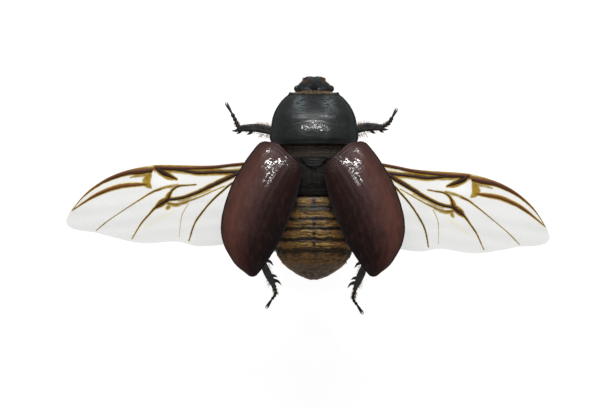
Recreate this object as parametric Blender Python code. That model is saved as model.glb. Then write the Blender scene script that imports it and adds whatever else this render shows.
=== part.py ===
"""European rhinoceros beetle, a female in flight with open elytra, held by a small display stand.

The named sizes are millimetres, and become metres where a mesh is made. Heights written for the
body are above or below its middle plane. +X is the beetle's right, +Y the way it flies, +Z up,
and the origin is the middle of the stand's underside.
"""

import math

import bmesh
import bpy
import numpy as np
from mathutils import Matrix, Vector
from mathutils.geometry import delaunay_2d_cdt

MM = 0.001
GAP = 0.3
BODY_Z = 20.0
LEFT, RIGHT = -1, 1
SIDES = (("left", LEFT), ("right", RIGHT))

# Trunk: rows of (y, half width, top, bottom, height of the widest line), rear to front
PROTHORAX = (
    (8.75, 7.15, 4.4, -4.3, -0.8),
    (9.4, 7.55, 5.05, -4.5, -0.8),
    (10.6, 7.65, 5.5, -4.65, -0.8),
    (12.1, 7.4, 5.6, -4.7, -0.8),
    (13.4, 7.15, 5.35, -4.6, -0.8),
    (14.85, 6.55, 4.75, -4.4, -0.8),
    (16.0, 5.75, 4.0, -4.1, -0.8),
    (16.85, 4.95, 3.3, -3.8, -0.8),
    (17.6, 4.1, 2.4, -3.5, -0.7),
)
PTEROTHORAX = (
    (0.0, 6.7, 3.7, -5.4, -0.6),
    (2.0, 6.75, 4.0, -5.45, -0.6),
    (4.0, 6.6, 4.0, -5.35, -0.6),
    (6.0, 6.45, 3.8, -5.1, -0.6),
    (7.4, 6.5, 3.6, -4.8, -0.6),
    (8.4, 6.5, 3.4, -4.3, -0.6),
)
ABDOMEN = (
    (-14.6, 0.5, -1.4, -2.2, -1.8),
    (-14.2, 1.7, -0.8, -2.7, -1.75),
    (-12.98, 3.9, 0.4, -3.4, -1.5),
    (-11.45, 5.65, 1.6, -4.0, -1.2),
    (-9.6, 6.75, 2.6, -4.5, -0.9),
    (-7.5, 7.1, 3.2, -4.9, -0.7),
    (-5.0, 7.15, 3.6, -5.2, -0.6),
    (-2.5, 6.95, 3.7, -5.3, -0.6),
    (-0.3, 6.6, 3.6, -5.2, -0.6),
)
HEAD = (
    (17.9, 3.05, 1.55, -3.1, -0.6),
    (18.4, 3.1, 1.35, -3.2, -0.8),
    (18.9, 2.7, 0.85, -3.2, -1.1),
    (19.3, 2.25, 0.2, -3.0, -1.35),
    (19.8, 1.85, -0.5, -2.7, -1.5),
    (20.2, 1.6, -0.95, -2.2, -1.5),
    (20.5, 1.42, -1.15, -1.9, -1.5),
)
TRUNK_FULLNESS = 2.3
TRUNK_SIDES = 24
DENT_Y, DENT_LENGTH, DENT_HALF_WIDTH, DENT_DEPTH = 15.9, 1.6, 3.2, 0.55
PROTHORAX_RINGS = (8.75, 8.95, 9.4, 10.2, 11.2, 12.2, 13.2, 14.1, 14.9, 15.6, 16.2, 16.8, 17.25, 17.6)
HEAD_RINGS = (17.9, 18.2, 18.55, 18.9, 19.2, 19.5, 19.8, 20.1, 20.35, 20.5)
HEAD_CLEARANCE_RINGS = (17.6, 18.4, 18.9, 19.4, 19.9, 20.3, 20.8)
SEGMENT_ENDS = (-0.3, -2.0, -4.0, -5.7, -7.5, -9.5, -11.7)
SEGMENT_STEP = 0.3
PYGIDIUM_ENDS, PYGIDIUM_MARKS = (-12.0, -14.6), (0, 0.2, 0.4, 0.6, 0.75, 0.88, 0.96, 1)

# Scutellum: half widths at these places along it, and its thickness
SCUTELLUM_LENGTHS = (7.9, 7.2, 6.4, 5.6, 4.9, 4.5)
SCUTELLUM_HALF_WIDTHS = (2.1, 2.15, 1.85, 1.4, 0.85, 0.35)
SCUTELLUM_THICKNESS, SCUTELLUM_ACROSS = 0.55, 7

# Head parts, on the right side
EYE_CENTRE, EYE_RADIUS = Vector((2.95, 18.35, -0.9)), 0.52
HORN_BASE, HORN_TIP, HORN_RADIUS = Vector((0, 18.75, 0.3)), Vector((0, 18.6, 2.1)), 0.75
MANDIBLE_PATH = ((1.1, 18.7, -3.2), (1.5, 19.4, -2.95), (1.5, 20.0, -2.6), (1.15, 20.42, -2.3))
MANDIBLE_SIZES = ((0.4, 0.35), (0.45, 0.35), (0.35, 0.3), (0.15, 0.15))
LABRUM_CENTRE, LABRUM_SIZE = Vector((0, 19.75, -3.35)), Vector((0.85, 0.75, 0.3))
PALP_PATH = ((0.9, 18.15, -3.25), (1.1, 18.45, -4.3), (1.45, 19.3, -4.75), (1.7, 20.0, -4.6))
PALP_SIZES = ((0.28, 0.28), (0.26, 0.26), (0.3, 0.3), (0.26, 0.26))
ANTENNA_PATH = ((2.2, 18.35, -2.6), (2.35, 18.4, -3.3), (2.4, 18.35, -4.1), (2.3, 18.2, -4.9))
ANTENNA_SIZES = ((0.26, 0.26), (0.3, 0.3), (0.25, 0.25), (0.3, 0.3))
# Leaves of the antenna's club: how many, the angle from one to the next, and their bow inwards
CLUB_LEAVES, CLUB_FAN, CLUB_LENGTH = 3, 28, 1.45
CLUB_SIZES = ((0.25, 0.2), (0.45, 0.25), (0.4, 0.25))
CLUB_INWARD, CLUB_BOW, CLUB_ROOT_RISE = 0.35, 0.1, 0.12

# Elytra, on the left side: the outline seen from above, and the height of the shell
ELYTRON_INNER = ((-1.98, 3.95), (-2.98, -0.45), (-5.62, -7.48), (-8.48, -12.1), (-9.8, -13.75))
ELYTRON_OUTER = (
    (-8.48, 9.28), (-9.7, 8.7), (-12.1, 5.48), (-14.4, 1.31), (-15.9, -3.97),
    (-15.7, -7.93), (-13.76, -11.67), (-11.3, -13.75),
)
ELYTRON_FRONT = ((-1.98, 3.95), (-2.7, 5.5), (-3.9, 6.6), (-6.2, 8.1), (-8.48, 9.28))
ELYTRON_END_BULGE = 0.25
ELYTRON_BASE_Z, ELYTRON_LIFT, ELYTRON_ROLL = 4.95, 0.2, 0.12
ELYTRON_HINGE = (-2.2, 5.0)
ELYTRON_DOME, ELYTRON_FULLNESS, ELYTRON_SHELL = 3.3, 2.3, 0.8
ELYTRON_GRID = (20, 12)
RIGHT_ELYTRON_SHIFT = -0.4
HINGE_PAD, HINGE_PAD_SIZES = Vector((3.2, 5.2, 2.8)), ((0.8, 0.8), (0.6, 0.6))

# Hindwings, on the left side: outline and veins seen from above
WING_LEADING = (
    (-4.2, 5.9), (-9.0, 5.85), (-12.0, 5.6), (-15.6, 5.2), (-18.8, 5.05), (-22.0, 5.1),
    (-27.1, 5.15), (-31.3, 4.4), (-34.5, 3.3), (-37.1, 1.85), (-38.9, 0.5), (-40.4, -1.1),
    (-41.75, -2.7), (-42.65, -4.45),
)
WING_TRAILING = (
    (-42.65, -4.45), (-42.0, -5.5), (-40.0, -6.15), (-37.5, -6.47), (-34.4, -7.3), (-29.5, -8.31),
    (-23.8, -8.03), (-20.07, -8.79), (-16.07, -8.6), (-12.6, -7.8), (-9.9, -5.6), (-8.2, -2.9),
    (-7.0, -0.6), (-4.2, 0.6),
)
# Each vein is its middle line, with the half width at its root and at its end
WING_VEINS = (
    (((-4.2, 5.3), (-11.9, 5.05), (-18.8, 4.6), (-27.0, 4.75)), 0.3, 0.35),
    (((-4.2, 4.3), (-13.1, 4.1), (-20.8, 4.1), (-27.1, 4.6)), 0.32, 0.45),
    (((-27.3, 4.5), (-25.7, 3.8), (-23.7, 2.8)), 0.45, 0.25),
    (((-27.9, 4.5), (-31.3, 4.05), (-34.4, 3.0), (-38.6, 0.5), (-41.5, -2.66)), 0.45, 0.25),
    (((-28.3, 1.76), (-33.3, 1.55), (-37.95, -0.22), (-41.5, -2.8)), 0.35, 0.25),
    (((-28.2, 4.3), (-28.6, 3.0), (-28.3, 1.8)), 0.3, 0.3),
    (((-23.4, 1.4), (-27.9, 0.5), (-33.3, -3.05), (-37.5, -6.2)), 0.28, 0.22),
    (((-20.2, 1.86), (-23.3, 1.66), (-24.6, 0.5), (-25.0, -0.6)), 0.22, 0.32),
    (((-4.2, 3.6), (-13.3, 3.2), (-18.7, 1.12), (-22.9, -0.76), (-25.1, -0.78)), 0.38, 0.38),
    (((-25.2, -0.8), (-27.5, -2.43), (-30.4, -5.98), (-31.3, -7.6)), 0.34, 0.24),
    (((-20.4, -1.2), (-22.5, -3.05), (-23.2, -6.6)), 0.24, 0.2),
    (((-4.2, 2.8), (-14.3, 1.55), (-18.3, -1.59), (-21.2, -5.98), (-21.65, -7.9)), 0.32, 0.24),
)
VEIN_LEAST_HALF_WIDTH, VEIN_RISE, VEIN_STEP = 0.3, 0.3, 2.2
# Points between the veins, which let the membrane curve: the first, and the steps to the next
WEB_FIRST, WEB_OUTWARD, WEB_BACKWARD, WEB_COUNT = Vector((-6.5, 4.5)), Vector((-2.45, -0.1)), -2.3, (15, 6)
WING_ROOT_X, WING_ROOT_Z, WING_THICKNESS = -5.0, 2.9, 0.5
WING_DIHEDRAL, WING_CAMBER, WING_DROOP, WING_CHORD = 0.07, 0.5, 0.07, 13.5
# The right wing is swept back and a little foreshortened against a mirror image of the left
RIGHT_WING_ALONG, RIGHT_WING_ACROSS = Vector((0.968, 0.11)), Vector((-0.085, 1.004))
RIGHT_WING_SHIFT = Vector((-0.27, 0.8))

# Legs: joints in the body's frame, (x, y, height), and the toes' line from the tibia's end
LEGS = {
    "fore_left": ((-2.3, 12.4, -5.6), (-6.1, 10.8, -5.8), (-12.95, 11.55, -6.4),
                  ((-13.45, 12.6, -6.6), (-14.25, 14.2, -6.8), (-14.95, 15.45, -7.2))),
    "fore_right": ((2.3, 12.4, -5.6), (5.9, 10.9, -5.8), (11.6, 11.75, -6.4),
                   ((12.95, 12.5, -6.6), (13.55, 13.45, -6.8), (14.1, 14.45, -7.2))),
    "mid_left": ((-2.4, 4.3, -6.1), (-8.7, 3.2, -6.9), (-11.6, -3.6, -10.4),
                 ((-11.9, -5.4, -11.2), (-12.2, -7.2, -11.5), (-12.6, -9.0, -11.6))),
    "mid_right": ((2.4, 4.3, -6.1), (8.6, 3.2, -6.9), (11.2, -3.7, -10.4),
                  ((11.4, -5.5, -11.2), (11.8, -7.3, -11.5), (12.0, -9.1, -11.6))),
    "hind_left": ((-2.7, -1.0, -6.1), (-9.7, -8.0, -6.6), (-6.95, -15.85, -8.3),
                  ((-6.65, -17.1, -8.7), (-7.35, -18.15, -9.0), (-7.95, -19.1, -9.2))),
    "hind_right": ((2.7, -1.0, -6.1), (9.45, -8.3, -6.6), (7.15, -16.25, -8.3),
                   ((6.8, -17.95, -8.7), (7.5, -19.1, -9.0), (8.15, -20.1, -9.2))),
}
COXA_RADIUS, KNEE_RADIUS = 1.35, 0.72
COXA_SIZE = Vector((1.15, 0.95, 1.0)) * COXA_RADIUS
FEMUR_SIZES = ((0.8, 0.7), (1.15, 0.8), (1.05, 0.75), (KNEE_RADIUS, KNEE_RADIUS))
FEMUR_BOW, TIBIA_BOW = 0.15, 0.15
TIBIA_SIZES = {
    "fore": ((0.45, 0.38), (0.66, 0.4), (0.68, 0.42), (0.5, 0.38)),
    "mid": ((0.4, 0.36), (0.5, 0.4), (0.7, 0.45), (0.78, 0.45)),
    "hind": ((0.4, 0.36), (0.46, 0.4), (0.68, 0.46), (0.48, 0.42)),
}
# Spines of the tibia's outer edge: (place along it, length, lean towards its end)
EDGE_SPINES = {
    "fore": ((0.6, 0.65, 1.0), (0.86, 0.6, 0.8), (0.94, 0.75, 1.5)),
    "mid": ((0.4, 0.95, 1.0), (0.68, 1.1, 1.0), (0.92, 1.2, 1.4)),
    "hind": ((0.43, 1.3, 1.4), (0.74, 0.85, 1.6), (0.89, 1.15, 1.3)),
}
SPINE_RADIUS, SPINE_SINK = 0.3, 0.45
SPUR_LENGTH, SPUR_SPREAD, SPUR_RADIUS, SPUR_INSET = 1.0, 0.45, 0.2, 0.22
# A spur sits on the spined edge, 1, or on the other edge, -1
SPUR_SIDES = {"fore": (), "mid": (-1, 1), "hind": (1,)}
TARSUS_GAP, TARSUS_JOINTS, TARSUS_THIN, TARSUS_THICK = 0.38, 5, 0.25, 0.34
CLAW_LENGTH, CLAW_SPREAD, CLAW_RADIUS, CLAW_TIP_RADIUS = 0.85, 0.3, 0.17, 0.05
CLAW_ROOT_BACK, CLAW_ROOT_SIDE, CLAW_DROP = 0.35, 0.1, 0.35

# Stand
BASE_RADIUS, BASE_HEIGHT, BASE_BEVEL = 12.0, 2.4, 0.4
ROD_RADIUS, ROD_Y = 1.0, 2.0

COLOURS = {
    "thorax_black": ((0.02, 0.022, 0.025), 0.25),
    "elytron_brown": ((0.09, 0.025, 0.018), 0.28),
    "abdomen_gold": ((0.33, 0.17, 0.05), 0.45),
    "wing_membrane": ((0.75, 0.68, 0.5), 0.3),
    "leg_black": ((0.022, 0.018, 0.018), 0.3),
    "mouth_brown": ((0.22, 0.08, 0.03), 0.4),
    "eye_black": ((0.012, 0.012, 0.014), 0.1),
    "stand_white": ((0.85, 0.85, 0.85), 0.5),
    "stand_steel": ((0.6, 0.6, 0.62), 0.3),
}


def clear_scene():
    for thing in list(bpy.data.objects):
        bpy.data.objects.remove(thing, do_unlink=True)


def material(name):
    made = bpy.data.materials.get(name)
    if made is None:
        made = bpy.data.materials.new(name)
        made.use_nodes = True
        shader = made.node_tree.nodes["Principled BSDF"]
        colour, roughness = COLOURS[name]
        shader.inputs["Base Color"].default_value = (*colour, 1)
        shader.inputs["Roughness"].default_value = roughness
        shader.inputs["Metallic"].default_value = 1.0 if name == "stand_steel" else 0.0
    return made


# Curves and tables

def spline(points, t):
    """The point at t, from 0 to 1, of the smooth curve through the points."""
    spans = len(points) - 1
    place = min(max(t, 0.0), 1.0) * spans
    i = min(int(place), spans - 1)
    u = place - i
    p1, p2 = Vector(points[i]), Vector(points[i + 1])
    p0 = Vector(points[i - 1]) if i else 2 * p1 - p2
    p3 = Vector(points[i + 2]) if i + 2 <= spans else 2 * p2 - p1
    bend = 2 * p0 - 5 * p1 + 4 * p2 - p3
    return 0.5 * (2 * p1 + (p2 - p0) * u + bend * u * u + (3 * p1 - p0 - 3 * p2 + p3) * u**3)


def steps(count):
    return [i / (count - 1) for i in range(count)]


def row_at(rows, y):
    """The values of a table of the trunk at y, on smooth curves through its rows."""
    table = np.array(rows, float)
    slopes = np.gradient(table, table[:, 0], axis=0)
    i = int(np.clip(np.searchsorted(table[:, 0], y) - 1, 0, len(table) - 2))
    span = table[i + 1, 0] - table[i, 0]
    u = min(max((y - table[i, 0]) / span, 0.0), 1.0)
    rise = u * u * (3 - 2 * u)
    found = (1 - rise) * table[i] + rise * table[i + 1]
    found += span * u * (1 - u) * ((1 - u) * slopes[i] - u * slopes[i + 1])
    return found[1:]


# Meshes

def solid(name, points, faces, colour):
    """A closed object of these millimetre points, its faces turned out."""
    mesh = bpy.data.meshes.new(name)
    mesh.from_pydata([Vector(p) * MM for p in points], [], faces)
    form = bmesh.new()
    form.from_mesh(mesh)
    bmesh.ops.remove_doubles(form, verts=form.verts, dist=1e-7)
    bmesh.ops.recalc_face_normals(form, faces=form.faces)
    form.to_mesh(mesh)
    form.free()
    made = bpy.data.objects.new(name, mesh)
    bpy.context.scene.collection.objects.link(made)
    mesh.materials.append(material(colour))
    return made


def loft(name, rings, colour):
    """A closed skin over rings of equally many points, with a flat or pointed cap at each end."""
    count = len(rings[0])
    points = [p for ring in rings for p in ring]
    faces = []
    for i in range(len(rings) - 1):
        for k in range(count):
            j = (k + 1) % count
            faces.append((i * count + k, i * count + j, (i + 1) * count + j, (i + 1) * count + k))
    last = (len(rings) - 1) * count
    faces.append(tuple(reversed(range(count))))
    faces.append(tuple(range(last, last + count)))
    return solid(name, points, faces, colour)


def limb(name, path, sizes, wide, colour, sides=8, rings=8, start_face=None, rounded=False):
    """A tapering limb along a smooth path. The sizes are its half width, along wide, and half
    thickness. start_face is the normal of its first face, and rounded ends it in a half ball."""
    places = [spline(path, t) for t in steps(rings)]
    widths = [spline(sizes, t) for t in steps(rings)]
    made = []
    for i, place in enumerate(places):
        along = (places[min(i + 1, rings - 1)] - places[max(i - 1, 0)]).normalized()
        normal = Vector(start_face).normalized() if i == 0 and start_face else along
        made.append(limb_ring(place, normal, along, wide, widths[i], sides))
    if rounded:
        reach = widths[-1][1]
        for angle in (35, 65):
            turn = math.radians(angle)
            place = places[-1] + along * reach * math.sin(turn)
            made.append(limb_ring(place, along, along, wide, widths[-1] * math.cos(turn), sides))
    return loft(name, made, colour)


def limb_ring(place, normal, along, wide, half_sizes, sides):
    """One oval ring, square to the limb and then slid along it into the plane of the normal."""
    across = (Vector(wide) - along * along.dot(Vector(wide))).normalized()
    thick = along.cross(across)
    ring = []
    for k in range(sides):
        turn = 2 * math.pi * (k + 0.5) / sides
        spoke = across * half_sizes[0] * math.cos(turn) + thick * half_sizes[1] * math.sin(turn)
        spoke -= along * spoke.dot(normal) / along.dot(normal)
        ring.append(place + spoke)
    return ring


def spine(name, root, tip, radius, colour, sides=5):
    """A tapered spine: its root ring has the radius, and its tip a sixth of it."""
    side = Vector((0.3, 0.5, 1.0))
    sizes = ((radius, radius), (radius / 6, radius / 6))
    return limb(name, (root, tip), sizes, side, colour, sides=sides, rings=2)


def ball(name, centre, size, colour, sides=14, rings=8, turn=None):
    """An ellipsoid with its half sizes in a Vector, turned by a rotation matrix."""
    form = bmesh.new()
    bmesh.ops.create_uvsphere(form, u_segments=sides, v_segments=rings, radius=1)
    bmesh.ops.scale(form, vec=size, verts=form.verts)
    if turn:
        bmesh.ops.rotate(form, matrix=turn, verts=form.verts)
    bmesh.ops.translate(form, vec=centre, verts=form.verts)
    points = [v.co.copy() for v in form.verts]
    faces = [tuple(v.index for v in face.verts) for face in form.faces]
    form.free()
    return solid(name, points, faces, colour)


def apply_boolean(target, operation, operands, solver="EXACT"):
    """Joins the operands to the target, or cuts them from it, and removes them."""
    group = bpy.data.collections.new("operands")
    bpy.context.scene.collection.children.link(group)
    for other in operands:
        bpy.context.scene.collection.objects.unlink(other)
        group.objects.link(other)
    change = target.modifiers.new("join", "BOOLEAN")
    change.operation = operation
    change.operand_type = "COLLECTION"
    change.collection = group
    change.solver = solver
    graph = bpy.context.evaluated_depsgraph_get()
    mesh = bpy.data.meshes.new_from_object(target.evaluated_get(graph))
    target.modifiers.clear()
    target.data = mesh
    for other in operands:
        bpy.data.objects.remove(other, do_unlink=True)
    bpy.data.collections.remove(group)
    keep_largest(target)
    return target


def join(target, operands, solver="EXACT"):
    return apply_boolean(target, "UNION", operands, solver)


def cut(target, operands):
    return apply_boolean(target, "DIFFERENCE", operands)


def keep_largest(target):
    """Drops every closed surface of the mesh but the one with the largest volume."""
    form = bmesh.new()
    form.from_mesh(target.data)
    left, shells = set(form.faces), []
    while left:
        shell, edge_of_shell = set(), [left.pop()]
        while edge_of_shell:
            face = edge_of_shell.pop()
            shell.add(face)
            for edge in face.edges:
                for other in edge.link_faces:
                    if other in left:
                        left.discard(other)
                        edge_of_shell.append(other)
        shells.append(shell)
    if len(shells) > 1:
        shells.sort(key=shell_volume)
        loose = [face for shell in shells[:-1] for face in shell]
        bmesh.ops.delete(form, geom=loose, context="FACES")
    form.to_mesh(target.data)
    form.free()


def shell_volume(shell):
    total = 0.0
    for face in shell:
        corners = [v.co for v in face.verts]
        for i in range(1, len(corners) - 1):
            total += corners[0].dot(corners[i].cross(corners[i + 1]))
    return abs(total)


def finish(target, smooth_angle=50):
    """Lifts a body part to its height above the floor and shades it."""
    target.data.transform(Matrix.Translation((0, 0, BODY_Z * MM)))
    target.data.shade_smooth()
    target.data.set_sharp_from_angle(angle=math.radians(smooth_angle))
    return target


# Trunk

def trunk_ring(rows, y, growth=0.0, inset=0.0):
    """A ring across the trunk at y, grown all round, or drawn in towards the widest line."""
    half_width, top, bottom, waist = row_at(rows, y)
    half_width += growth - inset
    ring = []
    for k in range(TRUNK_SIDES):
        turn = 2 * math.pi * k / TRUNK_SIDES
        c, s = math.cos(turn), math.sin(turn)
        reach = (top - waist if s > 0 else waist - bottom) + growth - inset
        x = half_width * math.copysign(abs(c) ** (2 / TRUNK_FULLNESS), c)
        z = waist + reach * math.copysign(abs(s) ** (2 / TRUNK_FULLNESS), s)
        if rows is PROTHORAX and s > 0:
            z -= pronotum_dent(x, y)
        ring.append(Vector((x, y, z)))
    return ring


def pronotum_dent(x, y):
    """Depth of the shallow hollow in the front of the female's pronotum."""
    along = (y - DENT_Y) / DENT_LENGTH
    across = x / DENT_HALF_WIDTH
    return DENT_DEPTH * math.exp(-along * along - across**4)


def trunk_grown(rows):
    """The space that a part of the trunk takes with its clearance, as a cutter."""
    first, last = rows[0][0], rows[-1][0]
    rings = [trunk_ring(rows, first + (last - first) * t, growth=GAP) for t in steps(9)]
    for point in rings[0]:
        point.y -= GAP
    for point in rings[-1]:
        point.y += GAP
    return loft("clearance", rings, "thorax_black")


def prothorax():
    rings = [trunk_ring(PROTHORAX, y) for y in PROTHORAX_RINGS]
    return finish(loft("prothorax", rings, "thorax_black"))


def pterothorax():
    """Middle and hind thorax in one piece, with a pad under each elytron's hinge."""
    front = PTEROTHORAX[-1][0]
    rings = [trunk_ring(PTEROTHORAX, front * t) for t in steps(9)]
    made = loft("pterothorax", rings, "thorax_black")
    pads = []
    for _, side in SIDES:
        root = Vector((side * HINGE_PAD.x, HINGE_PAD.y, HINGE_PAD.z))
        under = elytron_height(-HINGE_PAD.x, HINGE_PAD.y) - ELYTRON_SHELL - GAP
        top = Vector((root.x, root.y, under))
        pads.append(limb("pad", (root, top), HINGE_PAD_SIZES, (1, 0, 0), "thorax_black", rings=2))
    return finish(join(made, pads))


def scutellum():
    """The rounded triangular plate between the elytra, just over the middle thorax."""
    points, faces, across = [], [], SCUTELLUM_ACROSS
    for thickness in (0.0, SCUTELLUM_THICKNESS):
        for y, half_width in zip(SCUTELLUM_LENGTHS, SCUTELLUM_HALF_WIDTHS):
            for k in range(across):
                x = half_width * (2 * k / (across - 1) - 1)
                top = trunk_top(PTEROTHORAX, x, y) + GAP + thickness
                points.append(Vector((x, y, top)))
    rows = len(SCUTELLUM_LENGTHS)
    layer = rows * across
    for i in range(rows - 1):
        for k in range(across - 1):
            a = i * across + k
            quad = (a, a + 1, a + across + 1, a + across)
            faces += [quad[:3], (quad[0], quad[2], quad[3])]
            faces += [tuple(layer + v for v in face) for face in faces[-2:]]
    edge = outline_of_grid(rows, across)
    for a, b in zip(edge, edge[1:] + edge[:1]):
        faces.append((a, b, layer + b, layer + a))
    return finish(solid("scutellum", points, faces, "thorax_black"))


def outline_of_grid(rows, across):
    """The indices round the edge of a grid of points, in order."""
    front = list(range(across))
    right = [i * across + across - 1 for i in range(1, rows)]
    rear = [(rows - 1) * across + k for k in range(across - 2, -1, -1)]
    left = [i * across for i in range(rows - 2, 0, -1)]
    return front + right + rear + left


def trunk_top(rows, x, y):
    """Height of the upper surface of a part of the trunk at (x, y)."""
    half_width, top, _, waist = row_at(rows, y)
    share = min(abs(x) / half_width, 0.999)
    return waist + (top - waist) * (1 - share**TRUNK_FULLNESS) ** (1 / TRUNK_FULLNESS)


def abdomen():
    """Six rings that overlap like tiles, each stepped up over the one behind it."""
    rings = []
    for front, rear in zip(SEGMENT_ENDS, SEGMENT_ENDS[1:]):
        span = rear - front
        rings.append(trunk_ring(ABDOMEN, front - 0.02, inset=SEGMENT_STEP))
        rings.append(trunk_ring(ABDOMEN, front + span * 0.35, inset=SEGMENT_STEP * 0.3))
        rings.append(trunk_ring(ABDOMEN, rear, inset=0.0))
    return finish(loft("abdomen", rings, "abdomen_gold"), smooth_angle=25)


def pygidium():
    """The last plate, which closes the abdomen with a blunt point."""
    front, rear = PYGIDIUM_ENDS
    rings = [trunk_ring(ABDOMEN, front + (rear - front) * t) for t in PYGIDIUM_MARKS]
    return finish(loft("pygidium", rings, "abdomen_gold"))


# Head

def mirrored(point, side):
    return Vector((point[0] * side, point[1], point[2]))


def head_grown():
    rings = [trunk_ring(HEAD, y, growth=GAP) for y in HEAD_CLEARANCE_RINGS]
    return loft("clearance", rings, "thorax_black")


def head():
    made = loft("head", [trunk_ring(HEAD, y) for y in HEAD_RINGS], "thorax_black")
    horn = spine("horn", HORN_BASE, HORN_TIP, HORN_RADIUS, "thorax_black", sides=8)
    join(made, [horn])
    socket = Vector((1, 1, 1)) * (EYE_RADIUS + GAP)
    sockets = [ball("socket", mirrored(EYE_CENTRE, side), socket, "thorax_black") for _, side in SIDES]
    return finish(cut(made, sockets))


def eyes():
    for word, side in SIDES:
        size = Vector((1, 1, 1)) * EYE_RADIUS
        finish(ball(f"eye_{word}", mirrored(EYE_CENTRE, side), size, "eye_black"), 180)


def mouth():
    for word, side in SIDES:
        path = [mirrored(p, side) for p in MANDIBLE_PATH]
        jaw = limb(f"mandible_{word}", path, MANDIBLE_SIZES, (1, 0, 0), "mouth_brown", rings=6)
        finish(cut(jaw, [head_grown()]))
        path = [mirrored(p, side) for p in PALP_PATH]
        palp = limb(f"palp_{word}", path, PALP_SIZES, (1, 0, 0), "mouth_brown", 6, 7, rounded=True)
        finish(cut(palp, [head_grown()]))
    lip = ball("labrum", LABRUM_CENTRE, LABRUM_SIZE, "mouth_brown", sides=12, rings=6)
    finish(cut(lip, [head_grown()]))


def antennae():
    """Scape and beaded stalk, with a club of three leaves that fan out from its end."""
    for word, side in SIDES:
        path = [mirrored(p, side) for p in ANTENNA_PATH]
        stalk = limb(f"antenna_{word}", path, ANTENNA_SIZES, (1, 0, 0), "mouth_brown", 6, 9)
        leaves = []
        for i in range(CLUB_LEAVES):
            fan = math.radians(CLUB_FAN * (i - (CLUB_LEAVES - 1) / 2))
            root = path[-1] + Vector((0, 0, CLUB_ROOT_RISE))
            reach = Vector((-side * CLUB_INWARD, math.sin(fan), -math.cos(fan))) * CLUB_LENGTH
            line = (root, root + reach * 0.5 + Vector((side * CLUB_BOW, 0, 0)), root + reach)
            leaf = limb("leaf", line, CLUB_SIZES, (1, 0, 0), "mouth_brown", 8, 5, rounded=True)
            leaves.append(leaf)
        join(stalk, leaves)
        finish(cut(stalk, [head_grown()]))


# Elytra

def elytron_height(x, y):
    """Height of the left elytron's rim plane, which rises backwards and outwards."""
    back = ELYTRON_HINGE[1] - y
    out = ELYTRON_HINGE[0] - x
    return ELYTRON_BASE_Z + ELYTRON_LIFT * back + ELYTRON_ROLL * out


def elytron_point(s, t):
    """The left elytron's outer face: s runs from its front edge to its tip, t from seam to rim."""
    inner, outer = spline(ELYTRON_INNER, s), spline(ELYTRON_OUTER, s)
    flat = inner.lerp(outer, t)
    chord = Vector(ELYTRON_FRONT[0]).lerp(Vector(ELYTRON_FRONT[-1]), t)
    flat += (spline(ELYTRON_FRONT, t) - chord) * (1 - s) ** 4
    flat.y -= ELYTRON_END_BULGE * 4 * t * (1 - t) * s**8
    arch = 1 - abs(2 * t - 1) ** ELYTRON_FULLNESS
    length = min(1.0, 0.55 + 1.6 * s) * (1 - s**4)
    return Vector((flat.x, flat.y, elytron_height(flat.x, flat.y) + ELYTRON_DOME * arch * length))


def elytra():
    rows, across = ELYTRON_GRID
    for word, side in SIDES:
        points, faces = [], []
        for drop in (0, ELYTRON_SHELL):
            for i in range(rows):
                for k in range(across):
                    place = elytron_point(i / (rows - 1), k / (across - 1))
                    place.z -= drop
                    place.x *= -side
                    if side == RIGHT:
                        place.x += RIGHT_ELYTRON_SHIFT
                    points.append(place)
        layer = rows * across
        for i in range(rows - 1):
            for k in range(across - 1):
                a = i * across + k
                upper = [(a, a + 1, a + across + 1), (a, a + across + 1, a + across)]
                faces += upper + [tuple(layer + v for v in face) for face in upper]
        edge = outline_of_grid(rows, across)
        for a, b in zip(edge, edge[1:] + edge[:1]):
            faces += [(a, b, layer + b), (a, layer + b, layer + a)]
        points, faces = without_slivers(points, faces)
        finish(solid(f"elytron_{word}", points, faces, "elytron_brown"))


def without_slivers(points, faces):
    """Points at one place made one, and the faces that this collapses dropped."""
    seen, index = {}, []
    for point in points:
        key = tuple(round(v, 4) for v in point)
        index.append(seen.setdefault(key, len(seen)))
    kept = [None] * len(seen)
    for point, i in zip(points, index):
        kept[i] = point
    mapped = [tuple(index[v] for v in face) for face in faces]
    return kept, [face for face in mapped if len(set(face)) == 3]


# Hindwings

def wing_height(x, y):
    """Height of the left hindwing's middle surface: it rises outwards, arches, and droops behind."""
    span = max(WING_ROOT_X - x, 0.0)
    behind = max(5.2 - y, 0.0)
    arch = WING_CAMBER * math.sin(math.pi * min(behind / WING_CHORD, 1.0))
    return WING_ROOT_Z + WING_DIHEDRAL * span + arch - WING_DROOP * behind


def wing_outline():
    outline = [spline(WING_LEADING, t) for t in steps(34)]
    return outline + [spline(WING_TRAILING, t) for t in steps(32)[1:]]


def vein_lines():
    """For each vein, its middle line with a half width at each point."""
    lines = []
    for points, root, end in WING_VEINS:
        length = sum((Vector(b) - Vector(a)).length for a, b in zip(points, points[1:]))
        count = max(4, round(length / VEIN_STEP))
        line = []
        for t in steps(count):
            line.append((spline(points, t), max(VEIN_LEAST_HALF_WIDTH, root + (end - root) * t)))
        lines.append(line)
    return lines


def vein_rise(place, lines):
    """How far the veins raise the membrane at a place: a ridge with straight sides."""
    best = 0.0
    for line in lines:
        for (a, wide_a), (b, wide_b) in zip(line, line[1:]):
            run = b - a
            u = min(max((place - a).dot(run) / run.length_squared, 0.0), 1.0)
            wide = wide_a + (wide_b - wide_a) * u
            best = max(best, VEIN_RISE * (1 - (place - a - run * u).length / wide))
    return best


def inside(place, outline):
    odd = False
    for a, b in zip(outline, outline[1:] + outline[:1]):
        if (a.y > place.y) != (b.y > place.y):
            if place.x < a.x + (place.y - a.y) / (b.y - a.y) * (b.x - a.x):
                odd = not odd
    return odd


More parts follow.
